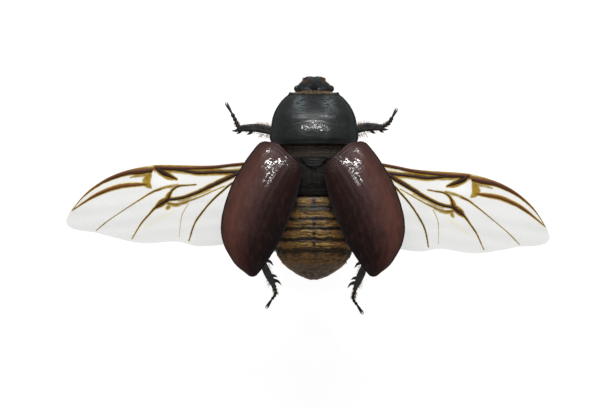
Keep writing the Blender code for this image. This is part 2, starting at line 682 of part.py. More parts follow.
def edge_distance(place, outline):
    best = 1e9
    for a, b in zip(outline, outline[1:] + outline[:1]):
        run = b - a
        u = min(max((place - a).dot(run) / max(run.length_squared, 1e-9), 0.0), 1.0)
        best = min(best, (place - a - run * u).length)
    return best


def wing_plan():
    """The wing's plan cut into triangles along its edge and both sides of each vein."""
    outline, lines = wing_outline(), vein_lines()
    points, edges = list(outline), []
    rim = list(range(len(outline)))
    for line in lines:
        for shift in (-1, 0, 1):
            first = len(points)
            for i, (place, wide) in enumerate(line):
                run = line[min(i + 1, len(line) - 1)][0] - line[max(i - 1, 0)][0]
                beside = place + Vector((-run.y, run.x)).normalized() * wide * shift
                points.append(beside if edge_distance(beside, outline) > 0.12 else None)
            for i in range(first, len(points) - 1):
                if points[i] and points[i + 1]:
                    edges.append((i, i + 1))
    for i in range(WEB_COUNT[0]):
        for k in range(WEB_COUNT[1]):
            place = WEB_FIRST + WEB_OUTWARD * i + Vector((0, WEB_BACKWARD * k))
            if edge_distance(place, outline) > 0.8 and vein_rise(place, lines) == 0:
                points.append(place)
    keep = [i for i, p in enumerate(points) if p and (i < len(rim) or inside(p, outline))]
    number = {old: new for new, old in enumerate(keep)}
    edges = [(number[a], number[b]) for a, b in edges if a in number and b in number]
    verts, _, faces, _, _, _ = delaunay_2d_cdt([points[i] for i in keep], edges, [rim], 1, 1e-4)
    middle = [f for f in faces if inside(sum((verts[v] for v in f), Vector((0, 0))) / 3, outline)]
    return verts, middle, lines


def hindwings():
    verts, faces, lines = wing_plan()
    rise = [vein_rise(v, lines) for v in verts]
    half = WING_THICKNESS / 2
    upper = [Vector((v.x, v.y, wing_height(v.x, v.y) + half + r)) for v, r in zip(verts, rise)]
    lower = [Vector((v.x, v.y, wing_height(v.x, v.y) - half)) for v in verts]
    layer = len(verts)
    skin = [tuple(f) for f in faces] + [tuple(layer + v for v in f) for f in faces]
    border = {}
    for face in faces:
        for a, b in zip(face, (*face[1:], face[0])):
            if (b, a) in border:
                del border[(b, a)]
            else:
                border[(a, b)] = True
    for a, b in border:
        skin += [(a, b, layer + b), (a, layer + b, layer + a)]
    for word, side in SIDES:
        points = [wing_placed(p, side) for p in upper + lower]
        wing = solid(f"hindwing_{word}", points, skin, "wing_membrane")
        finish(cut(wing, [trunk_grown(PTEROTHORAX)]))


def wing_placed(point, side):
    """A left wing's point as it is, or at its place on the right wing."""
    if side == LEFT:
        return point
    flat = Vector((-point.x, point.y))
    x = RIGHT_WING_ALONG.dot(flat) + RIGHT_WING_SHIFT.x
    y = RIGHT_WING_ACROSS.dot(flat) + RIGHT_WING_SHIFT.y
    return Vector((x, y, point.z))


# Legs

def legs():
    for name, (hip, knee, ankle, toes) in LEGS.items():
        pair = name.split("_")[0]
        hip, knee, ankle = Vector(hip), Vector(knee), Vector(ankle)
        coxa(name, hip)
        femur(name, hip, knee)
        tibia(name, pair, knee, ankle)
        tarsus(name, pair, knee, ankle, [Vector(t) for t in toes])


def coxa(name, hip):
    made = ball(f"coxa_{name}", hip, COXA_SIZE, "leg_black", sides=12, rings=8)
    finish(cut(made, [trunk_grown(PROTHORAX), trunk_grown(PTEROTHORAX), trunk_grown(ABDOMEN)]))


def femur(name, hip, knee):
    along = (knee - hip).normalized()
    start = hip + along * (COXA_SIZE.x + GAP)
    path = (start, start.lerp(knee, 0.5) + Vector((0, FEMUR_BOW, 0)), knee)
    wide = along.cross((0, 0, 1))
    made = limb(f"femur_{name}", path, FEMUR_SIZES, wide, "leg_black", 10, 8, rounded=True)
    finish(cut(made, [trunk_grown(PROTHORAX), trunk_grown(PTEROTHORAX), trunk_grown(ABDOMEN)]))


def tibia_edge(name, along):
    """The way the spined edge faces: backwards on the fore legs, outwards or inwards behind."""
    side = RIGHT if name.endswith("right") else LEFT
    facing = {"fore": (0, -1, 0), "mid": (side, 0, 0), "hind": (-side, 0, 0)}
    edge = Vector(facing[name.split("_")[0]])
    return (edge - along * along.dot(edge)).normalized()


def tibia(name, pair, knee, ankle):
    """A flat shin that widens to its end, with spines on one edge and two spurs at its end."""
    along = (ankle - knee).normalized()
    edge = tibia_edge(name, along)
    start = knee + along * (KNEE_RADIUS + GAP)
    middle = start.lerp(ankle, 0.5) - edge * TIBIA_BOW
    made = limb(f"tibia_{name}", (start, middle, ankle), TIBIA_SIZES[pair], edge, "leg_black", 8, 8)
    spines = []
    for place, length, lean in EDGE_SPINES[pair]:
        root = start.lerp(ankle, place) + edge * 0.1
        tip = root + (edge + along * lean).normalized() * (length + SPINE_SINK)
        spines.append(spine("spine", root, tip, SPINE_RADIUS, "leg_black"))
    half_width = TIBIA_SIZES[pair][-1][0]
    for turn in SPUR_SIDES[pair]:
        root = ankle - along * SPINE_SINK + edge * turn * (half_width - SPUR_INSET)
        tip = ankle + along * SPUR_LENGTH * (0.9 + 0.1 * turn)
        tip += edge * turn * (half_width + SPUR_SPREAD)
        spines.append(spine("spur", root, tip, SPUR_RADIUS, "leg_black"))
    finish(join(made, spines))


def tarsus(name, pair, knee, ankle, toes):
    """Five short joints that widen to their ends, and two claws."""
    shin = (ankle - knee).normalized()
    lean = shin.angle(toes[0] - ankle)
    path = [ankle + shin * (TARSUS_GAP + TARSUS_THIN * math.sin(lean)), *toes]
    rings, joints = [], TARSUS_JOINTS
    marks = [(i + u) / joints for i in range(joints) for u in (0.0, 0.74, 0.94)]
    for i, t in enumerate(marks):
        along = (spline(path, t + 0.02) - spline(path, t - 0.02)).normalized()
        half = TARSUS_THICK if i % 3 == 1 else TARSUS_THIN
        rings.append(limb_ring(spline(path, t), along, along, (0, 0, 1), (half, half), 6))
    made = loft(f"tarsus_{name}", rings, "leg_black")
    along = (path[-1] - path[-2]).normalized()
    side = along.cross((0, 0, 1)).normalized()
    claws = []
    for turn in (-1, 1):
        root = path[-1] - along * CLAW_ROOT_BACK + side * turn * CLAW_ROOT_SIDE
        middle = path[-1] + along * CLAW_LENGTH * 0.5 + side * turn * CLAW_SPREAD
        tip = path[-1] + along * CLAW_LENGTH + side * turn * CLAW_SPREAD * 1.1
        tip.z -= CLAW_DROP
        sizes = [(radius, radius) for radius in (CLAW_RADIUS, CLAW_RADIUS, CLAW_TIP_RADIUS)]
        claws.append(limb("claw", (root, middle, tip), sizes, (0, 0, 1), "leg_black", 5, 4))
    finish(join(made, claws))


# Stand

def stand():
    """A round foot, and a rod that ends just under the thorax."""
    shoulder = BASE_HEIGHT - BASE_BEVEL
    levels = ((BASE_RADIUS, 0), (BASE_RADIUS, shoulder), (BASE_RADIUS - BASE_BEVEL, BASE_HEIGHT))
    rings = [level_circle(radius, 0, z, 48) for radius, z in levels]
    shade_stand(loft("stand_base", rings, "stand_white"))
    rod_top = BODY_Z + row_at(PTEROTHORAX, ROD_Y)[2] - GAP
    rings = [level_circle(ROD_RADIUS, ROD_Y, z, 20) for z in (BASE_HEIGHT + GAP, rod_top)]
    shade_stand(loft("stand_rod", rings, "stand_steel"))


def level_circle(radius, y, z, sides):
    """A level ring about an upright line at x = 0 and this y; z is its height above the floor."""
    turns = [2 * math.pi * k / sides for k in range(sides)]
    return [Vector((radius * math.cos(a), y + radius * math.sin(a), z)) for a in turns]


def shade_stand(part):
    part.data.shade_smooth()
    part.data.set_sharp_from_angle(angle=math.radians(30))


def main():
    clear_scene()
    prothorax()
    pterothorax()
    scutellum()
    abdomen()
    pygidium()
    head()
    eyes()
    mouth()
    antennae()
    elytra()
    hindwings()
    legs()
    stand()


main()
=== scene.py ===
"""The looks of a female European rhinoceros beetle in flight, held by a small display stand.

Sizes are millimetres unless a name says otherwise, and heights written for the beetle are above or
below the middle plane of its body. +X is its right, +Y the way it flies, +Z up.
"""

import math

import bmesh
import bpy
import numpy as np
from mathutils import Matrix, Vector


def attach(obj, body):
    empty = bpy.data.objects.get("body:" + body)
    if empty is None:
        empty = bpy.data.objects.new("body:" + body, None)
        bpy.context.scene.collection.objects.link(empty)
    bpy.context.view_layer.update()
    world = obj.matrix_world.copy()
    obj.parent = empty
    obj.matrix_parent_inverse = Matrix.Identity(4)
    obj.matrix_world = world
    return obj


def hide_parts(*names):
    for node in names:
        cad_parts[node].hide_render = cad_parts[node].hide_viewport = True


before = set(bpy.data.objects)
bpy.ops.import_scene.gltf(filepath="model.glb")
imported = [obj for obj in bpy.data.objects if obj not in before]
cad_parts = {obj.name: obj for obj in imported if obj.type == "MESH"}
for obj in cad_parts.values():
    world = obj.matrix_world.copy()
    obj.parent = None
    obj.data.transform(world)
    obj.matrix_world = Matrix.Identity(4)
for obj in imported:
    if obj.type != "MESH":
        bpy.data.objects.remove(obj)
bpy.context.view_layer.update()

MM = 0.001
WELD_METRES, COLLAPSE_METRES = 2e-7, 1e-8
HALF_TURN, FULL_TURN = math.pi, 2 * math.pi
UP = np.array((0, 0, 1.0))
BODY_Z = 20.0
SIDES = (("left", -1), ("right", 1))

# Camera and room
PHOTO_WIDTH, MM_PER_PIXEL = 612, 0.1724
PHOTO_CENTRE = Vector((-1.38, -1.55))
CAMERA_RISE, CAMERA_CLIP, SENSOR_WIDTH = 1200.0, (0.05, 20), 36.0
FLOOR_SIZE, FLOOR_DROP = 6000.0, 0.05
FLOOR_LOOK = {"Base Color": (0.2, 0.2, 0.2, 1), "Roughness": 0.9,
              "Emission Color": (1, 1, 1, 1), "Emission Strength": 0.93}
LAMP_SIZE, LAMP_SPREAD, LAMP_WATTS = (12, 12), math.radians(6), 2.6e-5
# Where the wide light is, what it faces, its size and its watts
FRONT_LIGHT = ((0, 650, 480), (0, 0, 20), (500, 50), 5.6)
ROOM_COLOUR, ROOM_STRENGTH = (1, 1, 1, 1), 0.26

# Trunk: rows of (y, half width, top, bottom, height of the widest line), rear to front
PROTHORAX = (
    (8.75, 7.15, 4.4, -4.3, -0.8), (9.4, 7.55, 5.05, -4.5, -0.8), (10.6, 7.65, 5.5, -4.65, -0.8),
    (12.1, 7.4, 5.6, -4.7, -0.8), (13.4, 7.15, 5.35, -4.6, -0.8), (14.85, 6.55, 4.75, -4.4, -0.8),
    (16.0, 5.75, 4.0, -4.1, -0.8), (16.85, 4.95, 3.3, -3.8, -0.8), (17.6, 4.1, 2.4, -3.5, -0.7),
)
PTEROTHORAX = (
    (0.0, 6.7, 3.7, -5.4, -0.6), (2.0, 6.75, 4.0, -5.45, -0.6), (4.0, 6.6, 4.0, -5.35, -0.6),
    (6.0, 6.45, 3.8, -5.1, -0.6), (7.4, 6.5, 3.6, -4.8, -0.6), (8.4, 6.5, 3.4, -4.3, -0.6),
)
ABDOMEN = (
    (-14.6, 0.5, -1.4, -2.2, -1.8), (-14.2, 1.7, -0.8, -2.7, -1.75), (-12.98, 3.9, 0.4, -3.4, -1.5),
    (-11.45, 5.65, 1.6, -4.0, -1.2), (-9.6, 6.75, 2.6, -4.5, -0.9), (-7.5, 7.1, 3.2, -4.9, -0.7),
    (-5.0, 7.15, 3.6, -5.2, -0.6), (-2.5, 6.95, 3.7, -5.3, -0.6), (-0.3, 6.6, 3.6, -5.2, -0.6),
)
HEAD = (
    (17.9, 3.05, 1.55, -3.1, -0.6), (18.4, 3.1, 1.35, -3.2, -0.8), (18.9, 2.7, 0.85, -3.2, -1.1),
    (19.3, 2.25, 0.2, -3.0, -1.35), (19.8, 1.85, -0.5, -2.7, -1.5), (20.2, 1.6, -0.95, -2.2, -1.5),
    (20.5, 1.42, -1.15, -1.9, -1.5),
)
TRUNK_FULLNESS, TRUNK_SIDES, PRONOTUM_SIDES = 2.3, 180, 400
# The first and the last ring of a part, and how many there are
PROTHORAX_RINGS, PTEROTHORAX_RINGS, HEAD_RINGS = (8.75, 17.6, 130), (0.0, 8.55, 110), (17.9, 20.28, 90)
PYGIDIUM_REAR, PYGIDIUM_LENGTH = -14.6, 2.88
# The two ways that a part of the trunk can end: how far past its end each row is, and its scale
TRUNK_ENDS = {
    "cuff": ((1.0, 0.0), (0.9, 0.5), (0.5, 0.87), (0.08, 0.93), (-0.04, 0.965), (-0.03, 0.992)),
    "plug": ((-0.72, 0.0), (-0.7, 0.86), (-0.2, 0.9), (-0.07, 0.94), (-0.05, 0.97), (-0.03, 0.992)),
}
WHOLE_SCALE = 0.985
SHINE_WAVES = 60
DENT_Y, DENT_LENGTH, DENT_HALF_WIDTH, DENT_DEPTH = 15.9, 1.6, 3.2, 0.55
SEGMENT_ENDS = (-0.3, -2.0, -4.0, -5.7, -7.5, -9.5, -11.7)
SEGMENT_STEP = 0.22
SCUTELLUM_FRONT, SCUTELLUM_LENGTH, SCUTELLUM_ARCS = 7.9, 3.45, (5.95, 5.55, 5.0)
SCUTELLUM_HALVES = (2.35, 2.45, 2.4, 2.1, 1.4, 0.05)
# How golden the abdomen is above, at each distance behind the wings' roots
GOLD_BANDS = np.array((
    (0.3, 0.1), (0.55, 0.55), (1.0, 0.85), (1.45, 0.6), (1.7, 0.1), (2.7, 0.12), (2.9, 0.7), (3.3, 0.9),
    (3.75, 0.6), (3.95, 0.12), (4.3, 0.0), (4.5, 0.65), (4.9, 0.85), (5.35, 0.6), (5.55, 0.12), (5.95, 0.1),
    (6.1, 0.7), (6.6, 0.95), (7.2, 0.75), (7.4, 0.15), (7.9, 0.1), (8.05, 0.75), (8.5, 1.0), (9.0, 0.7),
    (9.15, 0.1), (9.7, 0.2), (10.2, 0.4), (10.5, 0.75), (11.2, 0.8), (11.9, 0.75), (12.1, 0.7),
))
# The dark marks down its middle: where, and their half length and half width
MIDDLE_MARKS = (
    (-0.9, 0.3, 0.3), (-1.5, 0.35, 0.35), (-2.2, 0.3, 0.5), (-3.75, 0.14, 0.6), (-4.2, 0.3, 0.28),
    (-5.1, 0.5, 0.2), (-6.7, 0.35, 0.2), (-7.35, 0.14, 0.45), (-8.5, 0.35, 0.2),
)

# Elytra, on the left side
ELYTRON_INNER = ((-1.98, 3.95), (-2.98, -0.45), (-5.62, -7.48), (-8.48, -12.1), (-9.8, -13.75))
ELYTRON_OUTER = (
    (-8.48, 9.28), (-9.7, 8.7), (-12.1, 5.48), (-14.4, 1.31), (-15.9, -3.97),
    (-15.7, -7.93), (-13.76, -11.67), (-11.3, -13.75),
)
ELYTRON_FRONT = ((-1.98, 3.95), (-2.7, 5.5), (-3.9, 6.6), (-6.3, 8.75), (-8.48, 9.28))
ELYTRON_END_BULGE = 0.25
ELYTRON_SHINE = (
    ((-2.9, 4.3), (-3.8, 5.2), (-5.0, 5.75), (-6.3, 5.4), (-7.3, 4.5), (-7.9, 3.5), (-8.3, 2.7)),
    ((-8.4, 7.3), (-8.0, 6.3), (-7.6, 5.2), (-7.6, 4.4)),
)
ELYTRON_BASE_Z, ELYTRON_LIFT, ELYTRON_ROLL = 4.95, 0.2, 0.12
ELYTRON_HINGE = (-2.2, 5.0)
ELYTRON_LENGTH, ELYTRON_DOME, ELYTRON_FULLNESS, ELYTRON_SHELL = 19.0, 3.2, 2.3, 0.5
ELYTRON_NET, ELYTRON_HEM, ELYTRON_REAR_HEM = (220, 130), (0, 0, 0.35), (0, 0, 0.3)
RIGHT_ELYTRON_SHIFT = -0.4

# Hindwings, on the left side
WING_LEADING = (
    (-4.2, 5.9), (-9.0, 5.85), (-12.0, 5.6), (-15.6, 5.2), (-18.8, 5.05), (-22.0, 5.1),
    (-27.1, 5.15), (-31.3, 4.45), (-34.5, 3.4), (-37.1, 1.97), (-38.9, 0.6), (-40.4, -0.98),
    (-41.75, -2.66), (-42.6, -4.45),
)
WING_TRAILING = (
    (-42.65, -4.45), (-42.0, -5.5), (-40.0, -6.15), (-37.5, -6.47), (-34.4, -7.3), (-29.5, -8.31),
    (-23.8, -8.03), (-20.07, -8.79), (-16.07, -8.6), (-12.6, -7.8), (-9.9, -5.6), (-8.2, -2.9),
    (-7.0, -0.6), (-4.2, 0.6),
)
# Each vein: its middle line, its half widths along it, and the width and depth of its amber border
WING_VEINS = {
    "costa": (((-4.2, 5.5), (-9.0, 5.6), (-13.44, 5.25), (-17.4, 4.8), (-21.8, 4.62), (-27.08, 4.72)),
              (0.2, 0.22, 0.25, 0.27, 0.24, 0.32), 0.24, 0.62),
    "radius": (((-4.2, 4.6), (-12.56, 4.05), (-15.2, 3.95), (-17.5, 3.9), (-19.6, 3.82), (-21.3, 4.0),
                (-22.7, 4.28), (-24.5, 4.48), (-27.08, 4.68)), (0.3, 0.26, 0.25, 0.2, 0.28), 0.32, 0.75),
    "hook": (((-27.25, 4.76), (-26.2, 4.01), (-25.1, 3.4), (-23.6, 2.69)),
             (0.22, 0.36, 0.28, 0.1), 0.3, 0.7),
    "outer": (((-27.75, 4.32), (-29.9, 4.08), (-31.98, 3.86), (-34.05, 3.22), (-36.12, 2.28), (-37.15, 1.62),
               (-38.19, 0.9), (-39.22, 0.05), (-40.26, -1.0), (-41.5, -2.62)),
              (0.36, 0.42, 0.36, 0.28, 0.19, 0.14, 0.1, 0.06, 0.035, 0.02), 0.22, 0.72),
    "second": (((-28.9, 1.82), (-30.6, 1.75), (-32.8, 1.55), (-34.55, 1.13), (-36.31, 0.5), (-37.85, -0.28),
                (-39.39, -1.22), (-41.55, -2.7)),
               (0.1, 0.18, 0.21, 0.2, 0.17, 0.13, 0.08, 0.025), 0.22, 0.72),
    "third": (((-26.31, 1.05), (-27.52, 0.62), (-28.62, 0.0), (-30.6, -1.25), (-34.99, -4.15),
               (-37.41, -6.1)), (0.12, 0.08, 0.05, 0.03), 0.16, 0.5),
    "loop": (((-20.26, 1.78), (-21.8, 1.66), (-23.12, 1.55), (-24.0, 1.12), (-24.55, 0.54), (-25.1, -0.78)),
             (0.04, 0.07, 0.1, 0.16), 0.22, 0.6),
    "media": (((-4.2, 3.9), (-9.0, 3.9), (-12.56, 3.85), (-14.54, 3.05), (-17.6, 1.6), (-19.6, 0.64),
               (-21.8, -0.22), (-23.34, -0.6), (-25.1, -0.78)), (0.35, 0.3, 0.26, 0.2, 0.18), 0.24, 0.72),
    "cubital": (((-25.14, -0.78), (-26.2, -1.44), (-27.3, -2.21), (-28.4, -3.42), (-29.72, -4.96),
                 (-31.26, -7.49)), (0.26, 0.16, 0.075, 0.045, 0.02), 0.25, 0.75),
    "fine": (((-15.42, 1.53), (-17.4, 0.65), (-19.6, -0.32), (-21.8, -1.12), (-23.56, -1.55),
              (-25.1, -1.44)), (0.02, 0.03, 0.05, 0.06), 0.2, 0.5),
    "branch": (((-21.58, -1.55), (-22.24, -2.54), (-22.79, -3.86), (-23.19, -7.16)),
               (0.03, 0.03, 0.02), 0.14, 0.22),
    "anal": (((-4.2, 3.1), (-9.5, 3.1), (-13.66, 2.19), (-15.64, 0.75), (-17.5, -0.95), (-19.4, -3.2),
              (-20.6, -5.1), (-21.5, -7.86)), (0.2, 0.14, 0.11, 0.1, 0.07), 0.16, 0.5),
}
# Amber in the film with no vein in it, told in the same way
WING_STAINS = {
    "triangle": (((-28.2, 3.5), (-28.5, 2.9), (-28.8, 2.3), (-28.5, 1.7), (-28.0, 1.25)),
                 (0.25, 0.4, 0.5, 0.35, 0.1), 0.25, 0.5),
    "under_outer": (((-28.6, 3.5), (-30.2, 3.3), (-31.6, 3.0)), (0.2, 0.12, 0.03), 0.25, 0.42),
    "over_costa": (((-19.0, 4.98), (-23.0, 5.0), (-25.5, 5.05), (-27.5, 4.95)),
                   (0.03, 0.08, 0.06), 0.16, 0.45),
    "under_radius": (((-19.0, 3.7), (-22.0, 3.85), (-25.0, 4.0)), (0.06, 0.08, 0.05), 0.25, 0.4),
    "under_hook": (((-26.3, 3.6), (-25.2, 3.0), (-24.2, 2.6)), (0.1, 0.15, 0.05), 0.22, 0.5),
    "specks": (((-26.5, 1.0), (-25.6, 1.3), (-24.8, 1.45), (-23.4, 1.7)), (0.1, 0.08, 0.1, 0.08), 0.2, 0.45),
    "loop_fill": (((-24.85, 0.4), (-24.95, 0.0), (-25.0, -0.4)), (0.08, 0.2, 0.3), 0.25, 0.7),
    "under_media": (((-17.8, 0.85), (-19.6, 0.2), (-21.8, -0.72), (-23.3, -1.05)),
                    (0.03, 0.05, 0.06), 0.18, 0.35),
    "under_fine": (((-21.8, -1.3), (-23.6, -1.75), (-25.0, -1.6)), (0.05, 0.12, 0.1), 0.22, 0.42),
    "faint": (((-23.89, -2.83), (-26.2, -3.86), (-29.06, -5.62)), (0.03, 0.06, 0.03), 0.25, 0.13),
    "drop": (((-25.0, -2.1), (-25.2, -2.3)), (0.15, 0.12), 0.25, 0.5),
    "cubital_root": (((-25.3, -0.85), (-26.2, -1.4), (-27.1, -2.1)), (0.3, 0.36, 0.16), 0.25, 0.75),
}
WARM_VEINS, ORANGE_VEINS = ("outer", "costa"), ("second", "third", "branch", "fine")
WING_NET, WING_FILM, VEIN_SIDES = (300, 110), 0.06, 12
WING_START_X, WING_SPAN, WING_FRONT_Y = -4.2, 38.4, 5.2
WING_ROOT_X, WING_ROOT_Z = -5.0, 2.9
WING_DIHEDRAL, WING_CAMBER, WING_DROOP, WING_CHORD = 0.07, 0.5, 0.07, 13.5
RIGHT_WING_TURN, RIGHT_WING_SHIFT = np.array(((0.968, -0.085), (0.11, 1.004))), (-0.27, 0.8)

# Head parts, on the right side
EYE_CENTRE, EYE_RADIUS = np.array((2.88, 18.33, -0.9)), 0.6
HORN_Y, HORN_HEIGHT, HORN_WIDTH = 18.68, 0.95, 0.36
CLYPEUS_WAIST = 0.17
CANTHUS_PATH = ((1.7, 19.6, -1.1), (2.2, 19.1, -1.0), (2.85, 18.6, -0.75))
CANTHUS_SIZES = ((0.3, 0.12), (0.32, 0.12), (0.2, 0.08))
MANDIBLE_PATH = ((1.1, 18.7, -3.2), (1.5, 19.4, -2.95), (1.5, 20.0, -2.6), (1.15, 20.42, -2.3))
MANDIBLE_SIZES = ((0.4, 0.36), (0.44, 0.34), (0.4, 0.28), (0.14, 0.12))
LABRUM_CENTRE, LABRUM_SIZE = (0, 19.75, -3.35), (0.85, 0.75, 0.3)
# The long and the short palp: their path, where along it their joints end, and the joints' half widths
PALPS = (
    (((0.9, 18.15, -3.25), (1.1, 18.45, -4.3), (1.45, 19.3, -4.75), (1.7, 20.0, -4.6)),
     (0.0, 0.2, 0.45, 0.68, 1.0), (0.2, 0.24, 0.24, 0.27)),
    (((0.45, 19.0, -3.2), (0.55, 19.4, -3.9), (0.7, 19.9, -4.1)), (0.0, 0.3, 0.6, 1.0), (0.14, 0.16, 0.17)),
)
ANTENNA_PATH = ((2.2, 18.35, -2.6), (2.35, 18.4, -3.3), (2.4, 18.35, -4.1), (2.3, 18.2, -4.9))
ANTENNA_ENDS = (0.0, 0.38, 0.5, 0.6, 0.69, 0.78, 0.87, 0.98)
ANTENNA_HALVES = (0.27, 0.22, 0.2, 0.2, 0.22, 0.24, 0.28)
CLUB_LEAVES, CLUB_FAN, CLUB_LENGTH = 3, 28, 1.5
CLUB_SIZES = ((0.16, 0.12), (0.42, 0.2), (0.46, 0.22), (0.3, 0.18))

# Legs: joints in the body's frame, and the toes' line from the tibia's end
LEGS = {
    "fore_left": ((-2.3, 12.4, -5.6), (-6.1, 10.8, -5.8), (-12.95, 11.55, -6.4),
                  ((-13.45, 12.6, -6.6), (-14.25, 14.2, -6.8), (-14.95, 15.45, -7.2))),
    "fore_right": ((2.3, 12.4, -5.6), (5.9, 10.9, -5.8), (11.6, 11.75, -6.4),
                   ((12.95, 12.5, -6.6), (13.55, 13.45, -6.8), (14.1, 14.45, -7.2))),
    "mid_left": ((-2.4, 4.3, -6.1), (-8.7, 3.2, -6.9), (-11.6, -3.6, -10.4),
                 ((-11.9, -5.4, -11.2), (-12.2, -7.2, -11.5), (-12.6, -9.0, -11.6))),
    "mid_right": ((2.4, 4.3, -6.1), (8.6, 3.2, -6.9), (11.2, -3.7, -10.4),
                  ((11.4, -5.5, -11.2), (11.8, -7.3, -11.5), (12.0, -9.1, -11.6))),
    "hind_left": ((-2.7, -1.0, -6.1), (-9.7, -8.0, -6.6), (-6.95, -15.85, -8.3),
                  ((-6.65, -17.1, -8.7), (-7.35, -18.15, -9.0), (-7.95, -19.1, -9.2))),
    "hind_right": ((2.7, -1.0, -6.1), (9.45, -8.3, -6.6), (7.15, -16.25, -8.3),
                   ((6.8, -17.95, -8.7), (7.5, -19.1, -9.0), (8.15, -20.1, -9.2))),
}
ROUNDING = (18, 36, 54, 70, 82)
COXA_SIZE, KNEE_RADIUS, FEMUR_START = (1.5525, 1.2825, 1.35), 0.72, 1.6525
FEMUR_SIZES = ((0.8, 0.7), (1.15, 0.8), (1.05, 0.75), (KNEE_RADIUS, KNEE_RADIUS))
FEMUR_BOW, TIBIA_BOW = 0.15, {"fore": 0.42, "mid": 0.15, "hind": 0.36}
TIBIA_SIZES = {
    "fore": ((0.68, 0.4), (0.8, 0.42), (0.74, 0.42), (0.54, 0.38)),
    "mid": ((0.4, 0.36), (0.5, 0.4), (0.7, 0.45), (0.78, 0.45)),
    "hind": ((0.36, 0.36), (0.42, 0.4), (0.72, 0.46), (0.4, 0.4)),
}
# Teeth of the tibia's spined edge: (place along it, length, lean towards its end)
EDGE_TEETH = {
    "fore": ((0.66, 0.75, 0.9), (0.95, 0.75, 0.75), (1.0, 0.95, 2.6)),
    "mid": ((0.4, 0.95, 1.0), (0.68, 1.1, 1.0), (0.92, 1.2, 1.4)),
    "hind": ((0.4, 1.3, 1.3), (0.76, 0.8, 0.6), (0.86, 1.45, 1.1)),
}
SPUR_SIDES = {"fore": (), "mid": (-1, 1), "hind": ()}
SPUR_LENGTH, SPUR_SPREAD = 1.0, 0.45
TARSUS_ENDS, TARSUS_THIN = (0, 0.18, 0.33, 0.47, 0.6, 1), 0.18
TARSUS_THICK = {"fore": 0.42, "mid": 0.34, "hind": 0.3}
CLAW_LENGTH, CLAW_SPREAD = 0.8, 0.17

# Hair
HAIR_RADIUS, HAIR_ASKEW, HAIR_PATCH = 0.022, (0.31, 0.42, 0.85), 0.003
# The three rings of a hair: how far along it each is, and how thick the hair is there
HAIR_RINGS = ((-0.08, 1.0), (0.35, 0.85), (0.7, 0.55))
COLLAR_HAIRS, BRISTLES, LIP_HAIRS, JAW_HAIRS = 700, 110, 150, 170

# The clear layer of the polished places
VARNISH = {"Coat Roughness": 0.12, "Coat IOR": 1.9}
# Plain chitin: its name, two colours, roughness, the size and depth of its punctures, specular level, accent
SHELL_LOOKS = {
    "thorax": ("thorax_black", (0.004, 0.004, 0.004), (0.01, 0.008, 0.006), 0.42, 0.3, 0.03, 0.08,
               (0.024, 0.012, 0.006)),
    "scutellum": ("scutellum_black", (0.002, 0.002, 0.002), (0.005, 0.0048, 0.0045), 0.5, 0.3, 0.02, 0.1,
                  (0.03, 0.02, 0.012)),
    "leg": ("leg_black", (0.01, 0.01, 0.0095), (0.031, 0.029, 0.028), 0.34, 0.2, 0.03, 0.3),
    # The hind tibiae's black, made paler as painted light to make up for the shade they are in behind the
    # elytra
    "hind_tibia_painted_light": ("leg_black_painted_light", (0.045, 0.047, 0.043), (0.1, 0.105, 0.098), 0.34, 0.2, 0.03, 0.35),
    "mouth": ("mouth_brown", (0.06, 0.018, 0.006), (0.2, 0.07, 0.02), 0.35, 0.15, 0.015, 0.5,
              (0.012, 0.006, 0.005)),
}
# Hair: its name, and its dark, middle and pale colours
HAIR_LOOKS = {
    "hair": ("hair_red_brown", (0.09, 0.03, 0.01), (0.22, 0.09, 0.03), (0.5, 0.28, 0.1)),
    "dark_hair": ("hair_dark_brown", (0.006, 0.004, 0.003), (0.02, 0.013, 0.008), (0.045, 0.03, 0.018)),
    "collar_hair": ("hair_pale", (0.05, 0.03, 0.016), (0.17, 0.115, 0.065), (0.38, 0.28, 0.17)),
    "gold_hair": ("hair_gold", (0.16, 0.1, 0.03), (0.45, 0.33, 0.1), (0.8, 0.66, 0.3)),
}

# Stand
BASE_RADIUS, BASE_HEIGHT, BASE_BEVEL = 12.0, 2.4, 0.4
ROD_RADIUS, ROD_COLLAR, ROD_Y, ROD_TOP = 1.0, 1.7, 2.0, 14.25


# Camera, floor and light

def make_camera():
    data = bpy.data.cameras.new("camera")
    data.sensor_width = SENSOR_WIDTH
    data.lens = SENSOR_WIDTH * CAMERA_RISE / (PHOTO_WIDTH * MM_PER_PIXEL)
    data.clip_start, data.clip_end = CAMERA_CLIP
    camera = bpy.data.objects.new("camera", data)
    camera.location = Vector((*PHOTO_CENTRE, BODY_Z + CAMERA_RISE)) * MM
    bpy.context.scene.collection.objects.link(camera)
    bpy.context.scene.camera = camera


def make_floor():
    half = FLOOR_SIZE / 2 * MM
    mesh = bpy.data.meshes.new("floor")
    z = -FLOOR_DROP * MM
    corners = [(-half, -half, z), (half, -half, z), (half, half, z), (-half, half, z)]
    mesh.from_pydata(corners, [], [(0, 1, 2, 3)])
    floor = bpy.data.objects.new("floor", mesh)
    bpy.context.scene.collection.objects.link(floor)
    look = Look("floor_white")
    for name, value in FLOOR_LOOK.items():
        look.set(name, value)
    mesh.materials.append(look.material)
    floor.visible_glossy = False


